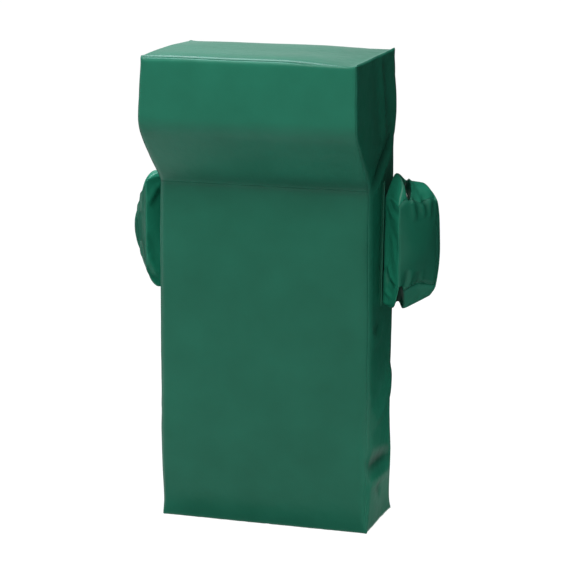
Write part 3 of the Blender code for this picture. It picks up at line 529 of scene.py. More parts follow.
def woven_material(name, dark, light, across, along, roughness):
    """Woven tape: raised threads across and along it, in its UV map's metres."""
    made, tree, shader = new_material(name, roughness, specular=0.3)
    place = add(tree, "UVMap").outputs["UV"]
    warp = bands(tree, place, "X", across)
    weft = bands(tree, place, "Y", along)
    weave = add(tree, "Math", {0: warp, 1: weft}, operation="MULTIPLY").outputs["Value"]
    fluff = speckle(tree, object_vector(tree), 0.0012, 3.0, 0.7)
    tone = add(tree, "Math", {0: weave, 1: fluff}).outputs["Value"]
    colour = shades(tree, between(tree, tone, 0.0, 1.0, (0.3, 1.4)), dark, light)
    tree.links.new(colour, shader.inputs["Base Color"])
    tree.links.new(between(tree, fluff, roughness - 0.1, roughness + 0.1), shader.inputs["Roughness"])
    tree.links.new(bump(tree, tone, 0.00025), shader.inputs["Normal"])
    return made


def plain_material(name, dark, light, roughness, pitch, depth, metallic=0.0, specular=0.5):
    """Moulded plastic, rubber or metal: a mottled colour and shine, and a fine surface."""
    made, tree, shader = new_material(name, roughness, metallic, specular)
    place = object_vector(tree)
    mottle = speckle(tree, place, pitch, 4.0, 0.6)
    colour = shades(tree, between(tree, mottle, 0.0, 1.0, (0.3, 0.7)), dark, light)
    tree.links.new(colour, shader.inputs["Base Color"])
    wide = between(tree, speckle(tree, place, pitch * 6, 3.0), roughness * 0.8, roughness * 1.25)
    tree.links.new(wide, shader.inputs["Roughness"])
    tree.links.new(bump(tree, mottle, depth), shader.inputs["Normal"])
    return made


VINYL = vinyl_material("green_vinyl")
# Painted light: a copy of the vinyl half as bright again, for the wings' gussets
LIT_GUSSET_VINYL = vinyl_material("green_gusset_vinyl_painted_light", 1.50)
# Painted light: a copy of the vinyl a fifth brighter, for the head's front
LIT_HEAD_VINYL = vinyl_material("green_head_vinyl_painted_light", 1.20)
IMPACT_FOAM = foam_material("impact_foam", (0.42, 0.43, 0.39), (0.62, 0.63, 0.58), 0.0016)
FIRM_FOAM = foam_material("firm_foam", (0.08, 0.09, 0.10), (0.15, 0.16, 0.17), 0.0009)
WEBBING = woven_material("black_webbing", (0.006, 0.006, 0.007), (0.030, 0.030, 0.033), 0.0012, 0.0022, 0.8)
TAPE = woven_material("zip_tape", (0.007, 0.008, 0.008), (0.028, 0.030, 0.030), 0.0006, 0.0009, 0.85)
THREAD = plain_material("green_thread", (0.012, 0.075, 0.045), (0.030, 0.140, 0.090), 0.6, 0.0008, 0.0001)
BLACK_THREAD = plain_material(
    "black_thread", (0.008, 0.008, 0.009), (0.045, 0.045, 0.048), 0.6, 0.0008, 0.0001
)
RUBBER = plain_material("grip_rubber", (0.014, 0.014, 0.015), (0.034, 0.034, 0.036), 0.68, 0.0010, 0.00012)
PLASTIC = plain_material("zip_plastic", (0.012, 0.013, 0.013), (0.026, 0.028, 0.028), 0.42, 0.0014, 0.00003)
METAL = plain_material("zip_metal", (0.36, 0.36, 0.35), (0.50, 0.50, 0.48), 0.33, 0.0012, 0.00002, 1.0)
BRASS = plain_material("brass", (0.50, 0.34, 0.12), (0.66, 0.48, 0.20), 0.30, 0.0016, 0.00002, 1.0)


def front_reach(z):
    """How far the head stands out in front of the body at a height, soft where its slope ends."""
    rise = (z - CREASE) / SLOPE_RISE
    rise = CREASE_ROUNDING_SHARE * np.logaddexp(0.0, rise / CREASE_ROUNDING_SHARE)
    corner = SLOPE_ROUNDING_SHARE
    bend = np.maximum(rise - 1 + corner, 0.0) ** 2 / (4 * corner)
    share = np.where(rise < 1 + corner, rise - bend, 1.0)
    return (FRONT - HEAD_FRONT) * np.maximum(share, 0.0)


def bag_back():
    """The back's depth at each distance from the middle, as the CAD panels have it."""
    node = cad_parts["back_panel_right"]
    tree = BVHTree.FromPolygons(
        [vertex.co.copy() for vertex in node.data.vertices],
        [tuple(face.vertices) for face in node.data.polygons],
    )
    height = (SLOT_LOW + CREASE) / 2
    places = np.linspace(SLOT_HALF_WIDTH + SLOT_MARGIN, HALF_WIDTH - SLOT_MARGIN, 60)
    depths = [tree.ray_cast(Vector((x, 1.0, height)), Vector((0.0, -1.0, 0.0)))[0].y for x in places]
    return places, np.array(depths)


# Radii of the bag's sewn edges. The front's upright ones shrink at the head and the base, and the
# right one hangs slack: each row there is the slack, its height and its reach
EDGE_RADII = {
    ("front", "top"): 0.0080,
    ("front", "bottom"): 0.0020,
    ("back", "left"): 0.0050,
    ("back", "right"): 0.0050,
    ("back", "top"): 0.0024,
    ("back", "bottom"): 0.0018,
    ("left", "top"): 0.0036,
    ("right", "top"): 0.0036,
    ("left", "bottom"): 0.0014,
    ("right", "bottom"): 0.0014,
}
FRONT_RADIUS = 0.0125
HEAD_RADIUS_LOSS = 0.0060
BASE_RADIUS_SHARE = 0.3
BASE_RADIUS_RISE = 0.030
SLACKS = ((0.0090, 0.172, 0.040), (0.0060, 0.070, 0.032), (0.0030, 0.500, 0.080))
SLACK_RISE = 0.040
BAG_SEED = 3.0

# Folds of the bag's sides: each row is the side, the fold's line as places of depth and height, its
# height, its width, and how deep a trough lies on its flank
BAG_FOLDS = (
    ("right", ((-0.020, 0.834), (-0.010, 0.760), (-0.004, 0.690)), 0.0040, 0.012, 0.5),
    ("right", ((-0.066, 0.606), (-0.020, 0.640), (0.060, 0.682)), 0.0066, 0.010, 0.8),
    ("right", ((0.060, 0.790), (0.071, 0.728), (0.066, 0.690)), 0.0030, 0.016, 0.0),
    ("right", ((-0.066, 0.352), (-0.038, 0.345), (-0.005, 0.360)), 0.0030, 0.009, 0.9),
    ("right", ((-0.060, 0.196), (-0.011, 0.206), (0.039, 0.222), (0.078, 0.266)), 0.0064, 0.011, -0.9),
    ("right", ((-0.082, 0.125), (-0.011, 0.120), (0.074, 0.109)), -0.0056, 0.014, 0.0),
    ("right", ((-0.082, 0.088), (-0.030, 0.086), (0.070, 0.078)), 0.0044, 0.011, 0.3),
    ("right", ((-0.030, 0.078), (-0.012, 0.068), (0.004, 0.050)), -0.0034, 0.008, 0.0),
    ("left", ((0.000, 0.830), (-0.020, 0.740), (-0.040, 0.650)), 0.0022, 0.014, 0.3),
    ("left", ((-0.066, 0.612), (-0.012, 0.630), (0.055, 0.656)), 0.0040, 0.010, 0.8),
    ("left", ((-0.050, 0.352), (0.010, 0.322), (0.062, 0.318)), 0.0024, 0.010, 0.6),
    ("left", ((-0.064, 0.182), (0.004, 0.210), (0.060, 0.262)), 0.0034, 0.011, -0.6),
    ("left", ((-0.062, 0.092), (0.000, 0.112), (0.062, 0.100)), 0.0026, 0.008, 0.8),
)
# Waves of the bag's vinyl: each row is the side, then height, pitch, stretch and the noise's offset
BAG_RIPPLES = (
    ("left", 0.0018, 0.060, 2.4, 11.0),
    ("left", 0.0006, 0.024, 1.5, 17.0),
    ("right", 0.0018, 0.060, 2.4, 12.0),
    ("right", 0.0006, 0.024, 1.5, 18.0),
    ("front", 0.0010, 0.110, 1.2, 23.0),
    ("top", 0.0008, 0.100, 0.8, 29.0),
)


def bag_form():
    """The whole bag, rounded, crowned and folded, as one surface."""
    across = graded((-HALF_WIDTH, -SLOT_HALF_WIDTH, 0.0, SLOT_HALF_WIDTH, HALF_WIDTH))
    up = graded((0.0, SLOT_LOW, CREASE, SLOT_HIGH, HEIGHT))
    form = Form((across, graded_share(BACK - FRONT), up), BOX_SIDES)
    x, deep, z = form.shares.T
    side = x / HALF_WIDTH
    front = FRONT - front_reach(z)
    depth = BACK - front
    y = front + deep * depth
    away = (HALF_WIDTH + x, HALF_WIDTH - x, deep * depth, (1 - deep) * depth, z, HEIGHT - z)
    form.describe(away, BOX_WAYS, ((y, z), (x, z), (x, y)))
    swell = np.where(x < 0, HEAD_SWELLS["left"], HEAD_SWELLS["right"])
    width = HALF_WIDTH + BODY_SWELL * arch(z, 0.0, CREASE) + swell * arch(z, CREASE, HEIGHT)
    width -= BASE_TUCK * smoothstep(1 - z / BASE_TUCK_RISE)
    near_front = smoothstep(1 - WAVE_FADE * deep)
    near_back = smoothstep(1 - WAVE_FADE * (1 - deep))
    wave = np.where(x < 0, near_front, 0.0) * smooth_curve(z / HEIGHT, LEFT_WAVE)
    wave += np.where(x > 0, near_back, 0.0) * smooth_curve(z / HEIGHT, RIGHT_WAVE)
    width += wave * side ** 4
    form.points = np.stack([side * width, y, z], 1)

    body = 2 * z / CREASE - 1
    head = 2 * (z - CREASE) / (HEIGHT - CREASE) - 1
    form.crown("front", np.where(z < CREASE, BODY_CROWN * dome(side, body), HEAD_CROWN * dome(side, head)))
    sag = TOP_SAG * smoothstep((side - TOP_SAG_START) / (1 - TOP_SAG_START))
    sag *= smoothstep((1 - side) / TOP_SAG_EDGE)
    rise = TOP_CROWN * dome(side, 2 * deep - 1) - sag + TOP_BACK_RISE * deep ** 3
    rise += TOP_LEFT_RISE * arch(deep, -TOP_LEFT_START, 1.0) * smoothstep(-side - TOP_LEFT_START)
    form.crown("top", rise)
    lift = TOP_FRONT_RISE * (1 - side ** 4) * bell(form.away["front"], TOP_FRONT_REACH)
    form.points[:, 2] += lift * bell(form.away["top"], SPREAD)
    for name, _ in SIDES:
        form.crown(name, SIDE_CROWN * dome(2 * deep - 1, 2 * z / HEIGHT - 1))
    places, depths = bag_back()
    form.points[:, 1] += np.where(form.on["back"], np.interp(np.abs(x), places, depths) - BACK, 0.0)

    for row in BAG_FOLDS:
        form.fold(*row)
    for row in BAG_RIPPLES:
        form.ripple(*row)
    # Painted shade: a soft dark band along the crease, darker towards the right
    left_share, right_share = CREASE_SHADE_SHARES
    shade_share = left_share + (right_share - left_share) * smoothstep((side + 1) / 2)
    form.paint_shade("front", shade_share * bell(z - CREASE - CREASE_SHADE_RISE, CREASE_SHADE_REACH))
    seams = bag_seams(z)
    form.sew(seams, BAG_SEED)
    form.worn = form.wear(seams)
    draw_ears(form)
    form.points[:, 2] = np.maximum(form.points[:, 2], 0.0)
    return form


def draw_ears(form):
    """The small points that a sewn box's corners end in."""
    for sides in product(("left", "right"), ("front", "back"), ("bottom", "top")):
        ear = EAR * bell(sum(form.away[name] ** 2 for name in sides) ** 0.5, EAR_REACH)
        for name in sides:
            form.points += form.normal[name] * (ear * EAR_SHARES[name])[:, None]


def bag_seams(z):
    """The radius of each sewn edge of the bag."""
    front = FRONT_RADIUS - HEAD_RADIUS_LOSS * smoothstep((z - CREASE) / SLOPE_RISE)
    slack = sum(amount * bell(z - height, reach) for amount, height, reach in SLACKS)
    slack = slack * smoothstep(z / SLACK_RISE)
    front *= BASE_RADIUS_SHARE + (1 - BASE_RADIUS_SHARE) * smoothstep(z / BASE_RADIUS_RISE)
    return {("front", "left"): front, ("front", "right"): front + slack, **EDGE_RADII}


def split_panel(form, name, quads, material):
    """One panel of a cover, cut from a form at its seams and given its thickness."""
    used, places = np.unique(quads, return_inverse=True)
    panel = mesh_object(name, form.points[used], places.reshape(-1, 4), material)
    # Each point's seam wear, and the painted shade that darkens it
    for label, values in (("wear", form.worn), ("painted_shade", np.clip(form.painted_shade, 0.0, 1.0))):
        layer = panel.data.attributes.new(label, "FLOAT", "POINT")
        layer.data.foreach_set("value", values[used].astype(np.float32))
    thicken = panel.modifiers.new("thickness", "SOLIDIFY")
    thicken.thickness = VINYL_THICKNESS
    thicken.offset = -1.0
    thicken.use_even_offset = False
    apply_modifiers(panel)
    return panel


def cut_eyelets(panel, side_name):
    """The holes that the eyelets of one back panel line."""
    for name in EYELETS:
        if not name.endswith(side_name):
            continue
        low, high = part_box(name)
        shape = bmesh.new()
        bmesh.ops.create_cone(
            shape,
            cap_ends=True,
            segments=32,
            radius1=EYELET_HOLE,
            radius2=EYELET_HOLE,
            depth=4 * EYELET_HOLE,
            matrix=Matrix.Translation((low + high) / 2) @ Matrix.Rotation(math.pi / 2, 4, "X"),
        )
        cutter = shape_object("hole_" + name, shape)
        change = panel.modifiers.new("hole", "BOOLEAN")
        change.operation = "DIFFERENCE"
        change.object = cutter
        apply_modifiers(panel)
        bpy.data.objects.remove(cutter, do_unlink=True)


def build_bag():
    """The bag's eight panels."""
    form = bag_form()
    front = form.quads["front"]
    back = form.quads["back"]
    front_z = form.shares[front].mean(1)[:, 2]
    back_x, _, back_z = form.shares[back].mean(1).T
    slot = (np.abs(back_x) < SLOT_HALF_WIDTH) & (back_z > SLOT_LOW) & (back_z < SLOT_HIGH)
    panels = {
        "body_front_panel": front[front_z < CREASE],
        "head_front_panel": front[front_z >= CREASE],
        "top_panel": form.quads["top"],
        "bottom_panel": form.quads["bottom"],
        "side_panel_left": form.quads["left"],
        "side_panel_right": form.quads["right"],
        "back_panel_left": back[(back_x < 0) & ~slot],
        "back_panel_right": back[(back_x > 0) & ~slot],
    }
    for name, quads in panels.items():
        # The head's front takes the lighter copy that paints light
        material = LIT_HEAD_VINYL if name == "head_front_panel" else VINYL
        panel = split_panel(form, name.replace("panel", "cover"), quads, material)
        if name.startswith("back"):
            cut_eyelets(panel, name.rpartition("_")[2])
        settle(panel, "bag", [name])
    return form


# The wings, seen from their side: places from root to tip, then the height there, and how much
# lower the top is, or higher the foot, at the outer face
WING_TOPS = {
    "left": (
        (0.00, 0.613, 0.006), (0.20, 0.617, 0.020), (0.37, 0.614, 0.028),
        (0.60, 0.605, 0.040), (0.85, 0.588, 0.051), (1.00, 0.576, 0.052),
    ),
    "right": (
        (0.00, 0.594, 0.008), (0.10, 0.615, 0.022), (0.20, 0.634, 0.036), (0.32, 0.633, 0.036),
        (0.55, 0.614, 0.029), (0.85, 0.609, 0.016), (1.00, 0.607, 0.020),
    ),
}
WING_FEET = {
    "left": (
        (0.00, 0.409, 0.036), (0.30, 0.412, 0.036), (0.60, 0.420, 0.052),
        (0.85, 0.427, 0.053), (1.00, 0.435, 0.052),
    ),
    "right": (
        (0.00, 0.402, 0.024), (0.15, 0.398, 0.030), (0.37, 0.398, 0.038),
        (0.60, 0.403, 0.036), (0.85, 0.408, 0.024), (1.00, 0.409, 0.022),
    ),
}
# Where through the pad, from its inner to its outer face, it is tallest
WING_RIDGE_SHARES = {"left": 0.38, "right": 0.16}
WING_FOOT_RIDGE_SHARE = 0.45
WING_INNER_DROP_SHARE = 0.12
WING_OUTER_CROWN = {"left": 0.0035, "right": 0.0105}
WING_INNER_CROWN = 0.0050
WING_TIP_CROWN = 0.0090
WING_TIP_SHARE = 0.6
WING_END_CROWN = 0.0040
WING_RADII = {
    ("root", "inner"): 0.0016,
    ("root", "outer"): 0.0032,
    ("tip", "inner"): 0.0055,
    ("tip", "outer"): 0.0055,
    ("foot", "inner"): 0.0050,
    ("foot", "outer"): 0.0115,
    ("crest", "inner"): 0.0050,
    ("crest", "outer"): 0.0115,
    ("root", "foot"): 0.0050,
    ("root", "crest"): 0.0050,
    ("tip", "crest"): 0.0110,
    ("tip", "foot"): 0.0055,
}
WING_RIMS = ("root", "tip", "foot", "crest")
WING_SEED = 40.0
WING_ROOT_LEAN = 0.0066
WING_ROOT_REACH = 0.0120
WING_ROOT_SLANT = 0.0120
WING_SLANT_REACH = 0.0300
WING_SLANT_PIVOT = 0.6
WING_COARSE = 0.0030

# The right wing's pockets: each row is the end, the depth, the centre and half width at the inner
# and at the outer face, and where through the pad it starts and stops
WING_PINCHES = {
    "left": (),
    "right": (
        ("crest", 0.030, (0.365, 0.275), (0.135, 0.040), (0.03, 1.08)),
        ("foot", 0.014, (0.300, 0.060), (0.085, 0.085), (-0.30, 1.40)),
    ),
}
PINCH_WALLS = (0.15, 0.35)
PINCH_REACH = 0.010
# Painted shade inside a pocket: how dark, and how wide against the pocket's width
PINCH_PAINTED_SHADE = 2.0
PINCH_SHADE_WIDTH = 1.3
# The left wing's shallow nicks in the same places
NICK_DEPTHS = {"left": 0.006, "right": 0.0}
NICK_PLACE = 0.30
NICK_WIDTH = 0.10
NICK_REACH = 0.008
# Folds: rows as the bag's, with a line's places as shares of the root's or the outer face's width
WING_FOLDS = {
    "left": (
        ("root", ((0.95, 0.470), (0.62, 0.438), (0.20, 0.425)), 0.0026, 0.007, 0.8),
        ("root", ((0.92, 0.560), (0.60, 0.588), (0.20, 0.600)), 0.0026, 0.007, 0.8),
        ("root", ((0.80, 0.520), (0.50, 0.500), (0.30, 0.460)), 0.0014, 0.009, 0.8),
        ("outer", ((0.30, 0.590), (0.36, 0.565), (0.38, 0.540)), 0.0026, 0.0060, 0.8),
        ("outer", ((0.30, 0.450), (0.38, 0.470), (0.42, 0.490)), 0.0026, 0.0060, 0.8),
        ("outer", ((0.66, 0.560), (0.62, 0.545), (0.58, 0.520)), 0.0018, 0.0060, 0.8),
    ),
    "right": (
        ("root", ((0.10, 0.470), (0.30, 0.448), (0.72, 0.436)), -0.0040, 0.006, 0.6),
        ("root", ((0.10, 0.430), (0.55, 0.418)), 0.0030, 0.005, 0.5),
        ("root", ((0.15, 0.585), (0.50, 0.566), (0.92, 0.560)), 0.0022, 0.006, 0.8),
        ("root", ((0.20, 0.540), (0.55, 0.520), (0.80, 0.478)), 0.0016, 0.008, 0.8),
        ("outer", ((0.50, 0.604), (0.56, 0.585), (0.60, 0.560)), 0.0034, 0.0055, 0.9),
        ("outer", ((0.30, 0.600), (0.34, 0.580), (0.34, 0.555)), 0.0024, 0.0055, 0.8),
        ("outer", ((0.80, 0.596), (0.76, 0.575), (0.74, 0.555)), 0.0018, 0.0060, 0.8),
        ("outer", ((0.18, 0.428), (0.26, 0.446), (0.30, 0.470)), 0.0026, 0.0060, 0.8),
        ("outer", ((0.55, 0.430), (0.58, 0.446), (0.56, 0.466)), 0.0016, 0.0060, 0.8),
    ),
}
PLEAT_DEPTHS = {"left": 0.0006, "right": 0.0011}
PLEAT_PITCH = 0.0110
PLEAT_FACE_REACH = 0.020
PLEAT_RIM_REACH = 0.014
PLEAT_SEEDS = {"left": 84.0, "right": 85.0}
WING_RIPPLES = {"left": 0.0007, "right": 0.0014}
WING_RIPPLE_PITCH = 0.040
WING_RIPPLE_STRETCH = 1.3
WING_RIPPLE_SEEDS = {"left": 55.0, "right": 56.0}

# The foam inside the covers
FOAM_INSET = 0.0130
FOAM_GAP = 0.0010
FOAM_EDGE = 0.0100
FOAM_FINE = 0.0040
FOAM_COARSE = 0.0200
FOAM_WAVE = 0.0012
FOAM_PITCH = 0.050
FOAM_SEED = 61.0
FOAM_SLOPE_INSETS = 1.4
PAD_INSET = FOAM_INSET * 0.8
PAD_END_INSETS = 2.2


def root_slant(side_name, z):
    """How far back a wing's root lies at a height: its top leans back, and its foot forward."""
    low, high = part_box("wing_welt_" + side_name)
    return WING_ROOT_SLANT * (np.clip((z - low.z) / (high.z - low.z), 0.0, 1.0) - WING_SLANT_PIVOT)


def wing_edges(side_name, s, t):
    """The heights of a wing's foot and top at places along it and through it."""
    edges = []
    ridges = (WING_FOOT_RIDGE_SHARE, WING_RIDGE_SHARES[side_name])
    for table, ridge, way in zip((WING_FEET, WING_TOPS), ridges, (1, -1)):
        outer = np.maximum(t - ridge, 0.0) / (1 - ridge)
        inner = np.maximum(ridge - t, 0.0) / ridge
        drop = outer ** 2 + WING_INNER_DROP_SHARE * inner ** 2
        rows = table[side_name]
        edges.append(smooth_curve(s, rows) + way * smooth_curve(s, rows, 2) * drop)
    return edges


def pad_form(side_name, side, fine, coarse, inset=0.0):
    """A wing's box of points, or one an inset inside it, and how wide and thick the wing is."""
    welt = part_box("wing_welt_" + side_name)
    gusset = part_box("wing_gusset_" + side_name)
    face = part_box("wing_outer_face_" + side_name)
    near, far = (0, 1) if side > 0 else (1, 0)
    root = np.array([gusset[near].x, (welt[0].y + welt[1].y) / 2, 0.0])
    corner = np.array([face[near].x, face[0].y, 0.0])
    along_way = np.array([face[far].x, face[1].y, 0.0]) - corner
    through_way = corner - root
    reach = np.linalg.norm(along_way)
    thickness = np.linalg.norm(through_way)
    sizes = (reach, thickness, welt[1].z - welt[0].z)
    form = Form([graded_share(size, fine, coarse) for size in sizes], PAD_SIDES)
    s, t, w = form.shares.T
    span = inset / reach + (1 - 2 * inset / reach) * s
    through = inset / thickness + (1 - 2 * inset / thickness) * t
    foot, top = wing_edges(side_name, span, through)
    top = top - inset * PAD_END_INSETS
    foot = foot + inset * PAD_END_INSETS
    z = foot + (top - foot) * w
    form.points = root + span[:, None] * along_way + through[:, None] * through_way
    form.points[:, 2] = z
    out = np.cross(along_way, UP) * side
    end = np.cross(UP, through_way) * side
    out /= np.linalg.norm(out)
    end /= np.linalg.norm(end)
    u, v = s * reach, t * thickness
    away = (u, (1 - s) * reach, v, (1 - t) * thickness, z - foot, top - z)
    form.describe(away, (-end, end, -out, out, -UP, UP), ((v, z), (u, z), (u, v)))
    return form, reach, thickness


def wing_form(side_name, side):
    """A wing's outer surface: a boxed pad, rounded, crowned and gathered."""
    form, reach, thickness = pad_form(side_name, side, FINE, WING_COARSE)
    along, across, level = 2 * form.shares.T - 1
    form.crown("outer", WING_OUTER_CROWN[side_name] * dome(along, level, 2))
    form.crown("inner", WING_INNER_CROWN * dome(along, level, 3))
    form.crown("tip", WING_TIP_CROWN * dome(WING_TIP_SHARE * across, level, 3))
    for end in ("crest", "foot"):
        form.crown(end, WING_END_CROWN * dome(along, across, 3))
    fold_wing(form, side_name, reach, thickness)
    form.sew(WING_RADII, WING_SEED + side)
    gap = np.hypot(form.away["root"], form.away["inner"])
    form.points[:, 1] -= WING_ROOT_LEAN * bell(gap, WING_ROOT_REACH)
    form.points[:, 1] += root_slant(side_name, form.points[:, 2]) * bell(gap, WING_SLANT_REACH)
    form.worn = form.wear(product(("inner", "outer"), WING_RIMS))
    return form


def pinch(form, name, depth, centre, half, through):
    """A pocket in a wing's end, its inside darkened with painted shade."""
    s, t, _ = form.shares.T
    gap = (s - centre[0] - (centre[1] - centre[0]) * t) / (half[0] + (half[1] - half[0]) * t)
    walls = smoothstep((t - through[0]) / PINCH_WALLS[0]) * smoothstep((through[1] - t) / PINCH_WALLS[1])
    form.push(name, -depth * (walls * np.exp(-(gap ** 4))), PINCH_REACH)
    form.paint_shade(name, PINCH_PAINTED_SHADE * walls * np.exp(-((gap / PINCH_SHADE_WIDTH) ** 4)))


def fold_wing(form, side_name, reach, thickness):
    """A wing's gathers: pockets or nicks beside its root, folds, pleats round its rim, and slack."""
    s = form.shares[:, 0]
    for row in WING_PINCHES[side_name]:
        pinch(form, *row)
    for end in ("crest", "foot"):
        form.push(end, -NICK_DEPTHS[side_name] * bell(s - NICK_PLACE, NICK_WIDTH), NICK_REACH)
    for name, line, height, width, lean in WING_FOLDS[side_name]:
        size = thickness if name == "root" else reach
        form.fold(name, [(share * size, z) for share, z in line], height, width, lean)
    for number, rim in enumerate(("crest", "foot")):
        run = np.stack([form.away["root"], np.full(len(s), float(number)), np.zeros(len(s))], 1)
        wave = soft_noise(run / PLEAT_PITCH, 1.0, PLEAT_SEEDS[side_name])
        for face in ("outer", "inner"):
            for own, other, size in ((face, rim, PLEAT_FACE_REACH), (rim, face, PLEAT_RIM_REACH)):
                near = bell(form.away[other], size) * form.on[own]
                form.points += form.normal[own] * (PLEAT_DEPTHS[side_name] * wave * near)[:, None]
    for number, name in enumerate(("outer", "inner", "root", "tip", "crest")):
        seed = WING_RIPPLE_SEEDS[side_name] + 2 * number
        form.ripple(name, WING_RIPPLES[side_name], WING_RIPPLE_PITCH, WING_RIPPLE_STRETCH, seed)


def build_wing(side_name, side):
    """A wing's two faces and its gusset."""
    form = wing_form(side_name, side)
    rims = np.concatenate([form.quads[rim] for rim in WING_RIMS])
    panels = (
        ("wing_outer_face_", "wing_outer_cover_", form.quads["outer"], VINYL),
        ("wing_inner_face_", "wing_inner_cover_", form.quads["inner"], VINYL),
        # The gusset takes the lighter copy that paints light
        ("wing_gusset_", "wing_gusset_cover_", rims, LIT_GUSSET_VINYL),
    )
    for node, cover, quads, material in panels:
        panel = split_panel(form, cover + side_name, quads[:, ::-1] if side > 0 else quads, material)
        settle(panel, "wing_" + side_name, [node + side_name])


def foam_form(low, high, front_at=None):
    """A block of foam; its front follows a slope where it is given one."""
    size = np.array(high) - np.array(low)
    form = Form([graded_share(length, FOAM_FINE, FOAM_COARSE) for length in size], BOX_SIDES)
    a, b, c = form.shares.T
    x = low[0] + a * size[0]
    z = low[2] + c * size[2]
    front = front_at(z) if front_at else np.full(len(z), low[1])
    depth = high[1] - front
    form.points = np.stack([x, front + b * depth, z], 1)
    y = form.points[:, 1]
    away = (x - low[0], high[0] - x, b * depth, (1 - b) * depth, z - low[2], high[2] - z)
    form.describe(away, BOX_WAYS, ((y, z), (x, z), (x, y)))
    return form


def finish_foam(name, form, material, body):
    """Soften a block's edges and skin, and let it stand for its node."""
    names = form.names
    opposite = set(zip(names[::2], names[1::2]))
    for number, side in enumerate(names):
        form.ripple(side, FOAM_WAVE, FOAM_PITCH, 1.0, FOAM_SEED + number)
    form.sew({pair: FOAM_EDGE for pair in combinations(names, 2) if pair not in opposite}, 0.0, 0.0, 0.0)
    quads = np.concatenate([form.quads[side] for side in names])
    block = mesh_object(name.replace("foam", "block"), form.points, quads, material)
    settle(block, body, [name])


def build_foam():
    """The body's block, the firm layer behind it and the head's wedge."""
    inner = HALF_WIDTH - FOAM_INSET
    seam = BACK - BACKING_THICKNESS
    top = HEIGHT - FOAM_INSET
    body = foam_form((-inner, FRONT + FOAM_INSET, FOAM_INSET), (inner, seam - FOAM_GAP, top))
    finish_foam("body_foam", body, IMPACT_FOAM, "bag")
    backing = foam_form((-inner, seam, FOAM_INSET), (inner, BACK - FOAM_INSET, top))
    finish_foam("backing_foam", backing, FIRM_FOAM, "bag")
    head = foam_form(
        (-inner, HEAD_FRONT, CREASE + 2 * FOAM_INSET),
        (inner, FRONT + FOAM_INSET - FOAM_GAP, top),
        lambda z: FRONT - front_reach(z) + FOAM_SLOPE_INSETS * FOAM_INSET,
    )
    finish_foam("head_foam", head, IMPACT_FOAM, "bag")


def build_wing_foam(side_name, side):
    """A wing's pad, inside its cover."""
    form, _, _ = pad_form(side_name, side, FOAM_FINE, FOAM_COARSE, PAD_INSET)
    form.flat = {name: (form.away["root"], form.points[:, 2]) for name in form.names}
    if side > 0:
        form.quads = {name: quads[:, ::-1] for name, quads in form.quads.items()}
    finish_foam("wing_foam_" + side_name, form, IMPACT_FOAM, "wing_" + side_name)


def surface_tree(form, names):
    """A form's sides as one surface that rays can meet."""
    quads = np.concatenate([form.quads[name] for name in names])
    return BVHTree.FromPolygons([Vector(p) for p in form.points], [tuple(int(i) for i in q) for q in quads])


def meet(tree, start, way):
    """Where a ray meets a surface, and which way the surface faces there."""
    place, normal, _, _ = tree.ray_cast(Vector(start), Vector(way))
    return np.array(place), np.array(normal)


def on_back(x, z, lift=0.0):
    """A place on the back of the bag, lifted off it, and which way the back faces."""
    place, normal = meet(BACK_SKIN, (x, 1.0, z), (0.0, -1.0, 0.0))
    return place + normal * lift, normal


# The strips that the wings hang on
WELT_WIDTH = 0.016
WELT_TAPE = 0.0010
WELT_RIB_WIDTH = 0.0036
WELT_RIB = 0.0032
WELT_FORWARD = 0.0080
FIT = 0.0003
STITCH_PITCH = 0.0042
STITCH_LENGTH = 0.0031
THREAD_RADIUS = 0.00034
THREAD_TIP_SHARE = 0.45
THREAD_RISE = 1.3
THREAD_SINK = 0.5


def build_welt(side_name, side):
    """A folded vinyl strip along a wing's root, with its rounded rib and its stitching."""
    low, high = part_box("wing_welt_" + side_name)
    middle = (low.y + high.y) / 2 - WELT_FORWARD
    half = WELT_WIDTH / 2
    rib = WELT_RIB_WIDTH / 2
    rise = WELT_RIB - WELT_TAPE
    flank = [(-half, 0.0), (-half, WELT_TAPE * 0.7), (-half + WELT_TAPE, WELT_TAPE)]
    sewn = half * 0.6
    flank += [(-sewn, WELT_TAPE * 0.8), (-rib * 1.6, WELT_TAPE)]
    angles = [math.pi * (1 - step / 8) for step in range(9)]
    crest = [(rib * math.cos(angle), WELT_TAPE + rise * math.sin(angle)) for angle in angles]
    section = flank + crest + [(-across, lift) for across, lift in reversed(flank)]
    tree = surface_tree(BAG, [side_name])
    out = np.array([side, 0.0, 0.0])

    def spot(z, across):
        return meet(tree, (side, middle + root_slant(side_name, z) + across, z), -out)

    rings = []
    for z in np.linspace(low.z, high.z, 46):
        ring = [spot(z, across)[0] + out * (FIT / 3 + lift) for across, lift in section]
        rings.append(ring[::-1] if side > 0 else ring)
    welt = tube("wing_strip_" + side_name, rings, VINYL)
    settle(welt, "bag", ["wing_welt_" + side_name])
    runs = []
    for across in (-sewn, sewn):
        spots = [spot(z, across) for z in np.linspace(low.z + half / 2, high.z - half / 2, 40)]
        runs.append([(place + out * WELT_TAPE, normal) for place, normal in spots])
    stitch("wing_strip_stitches_" + side_name, runs, THREAD, "bag")


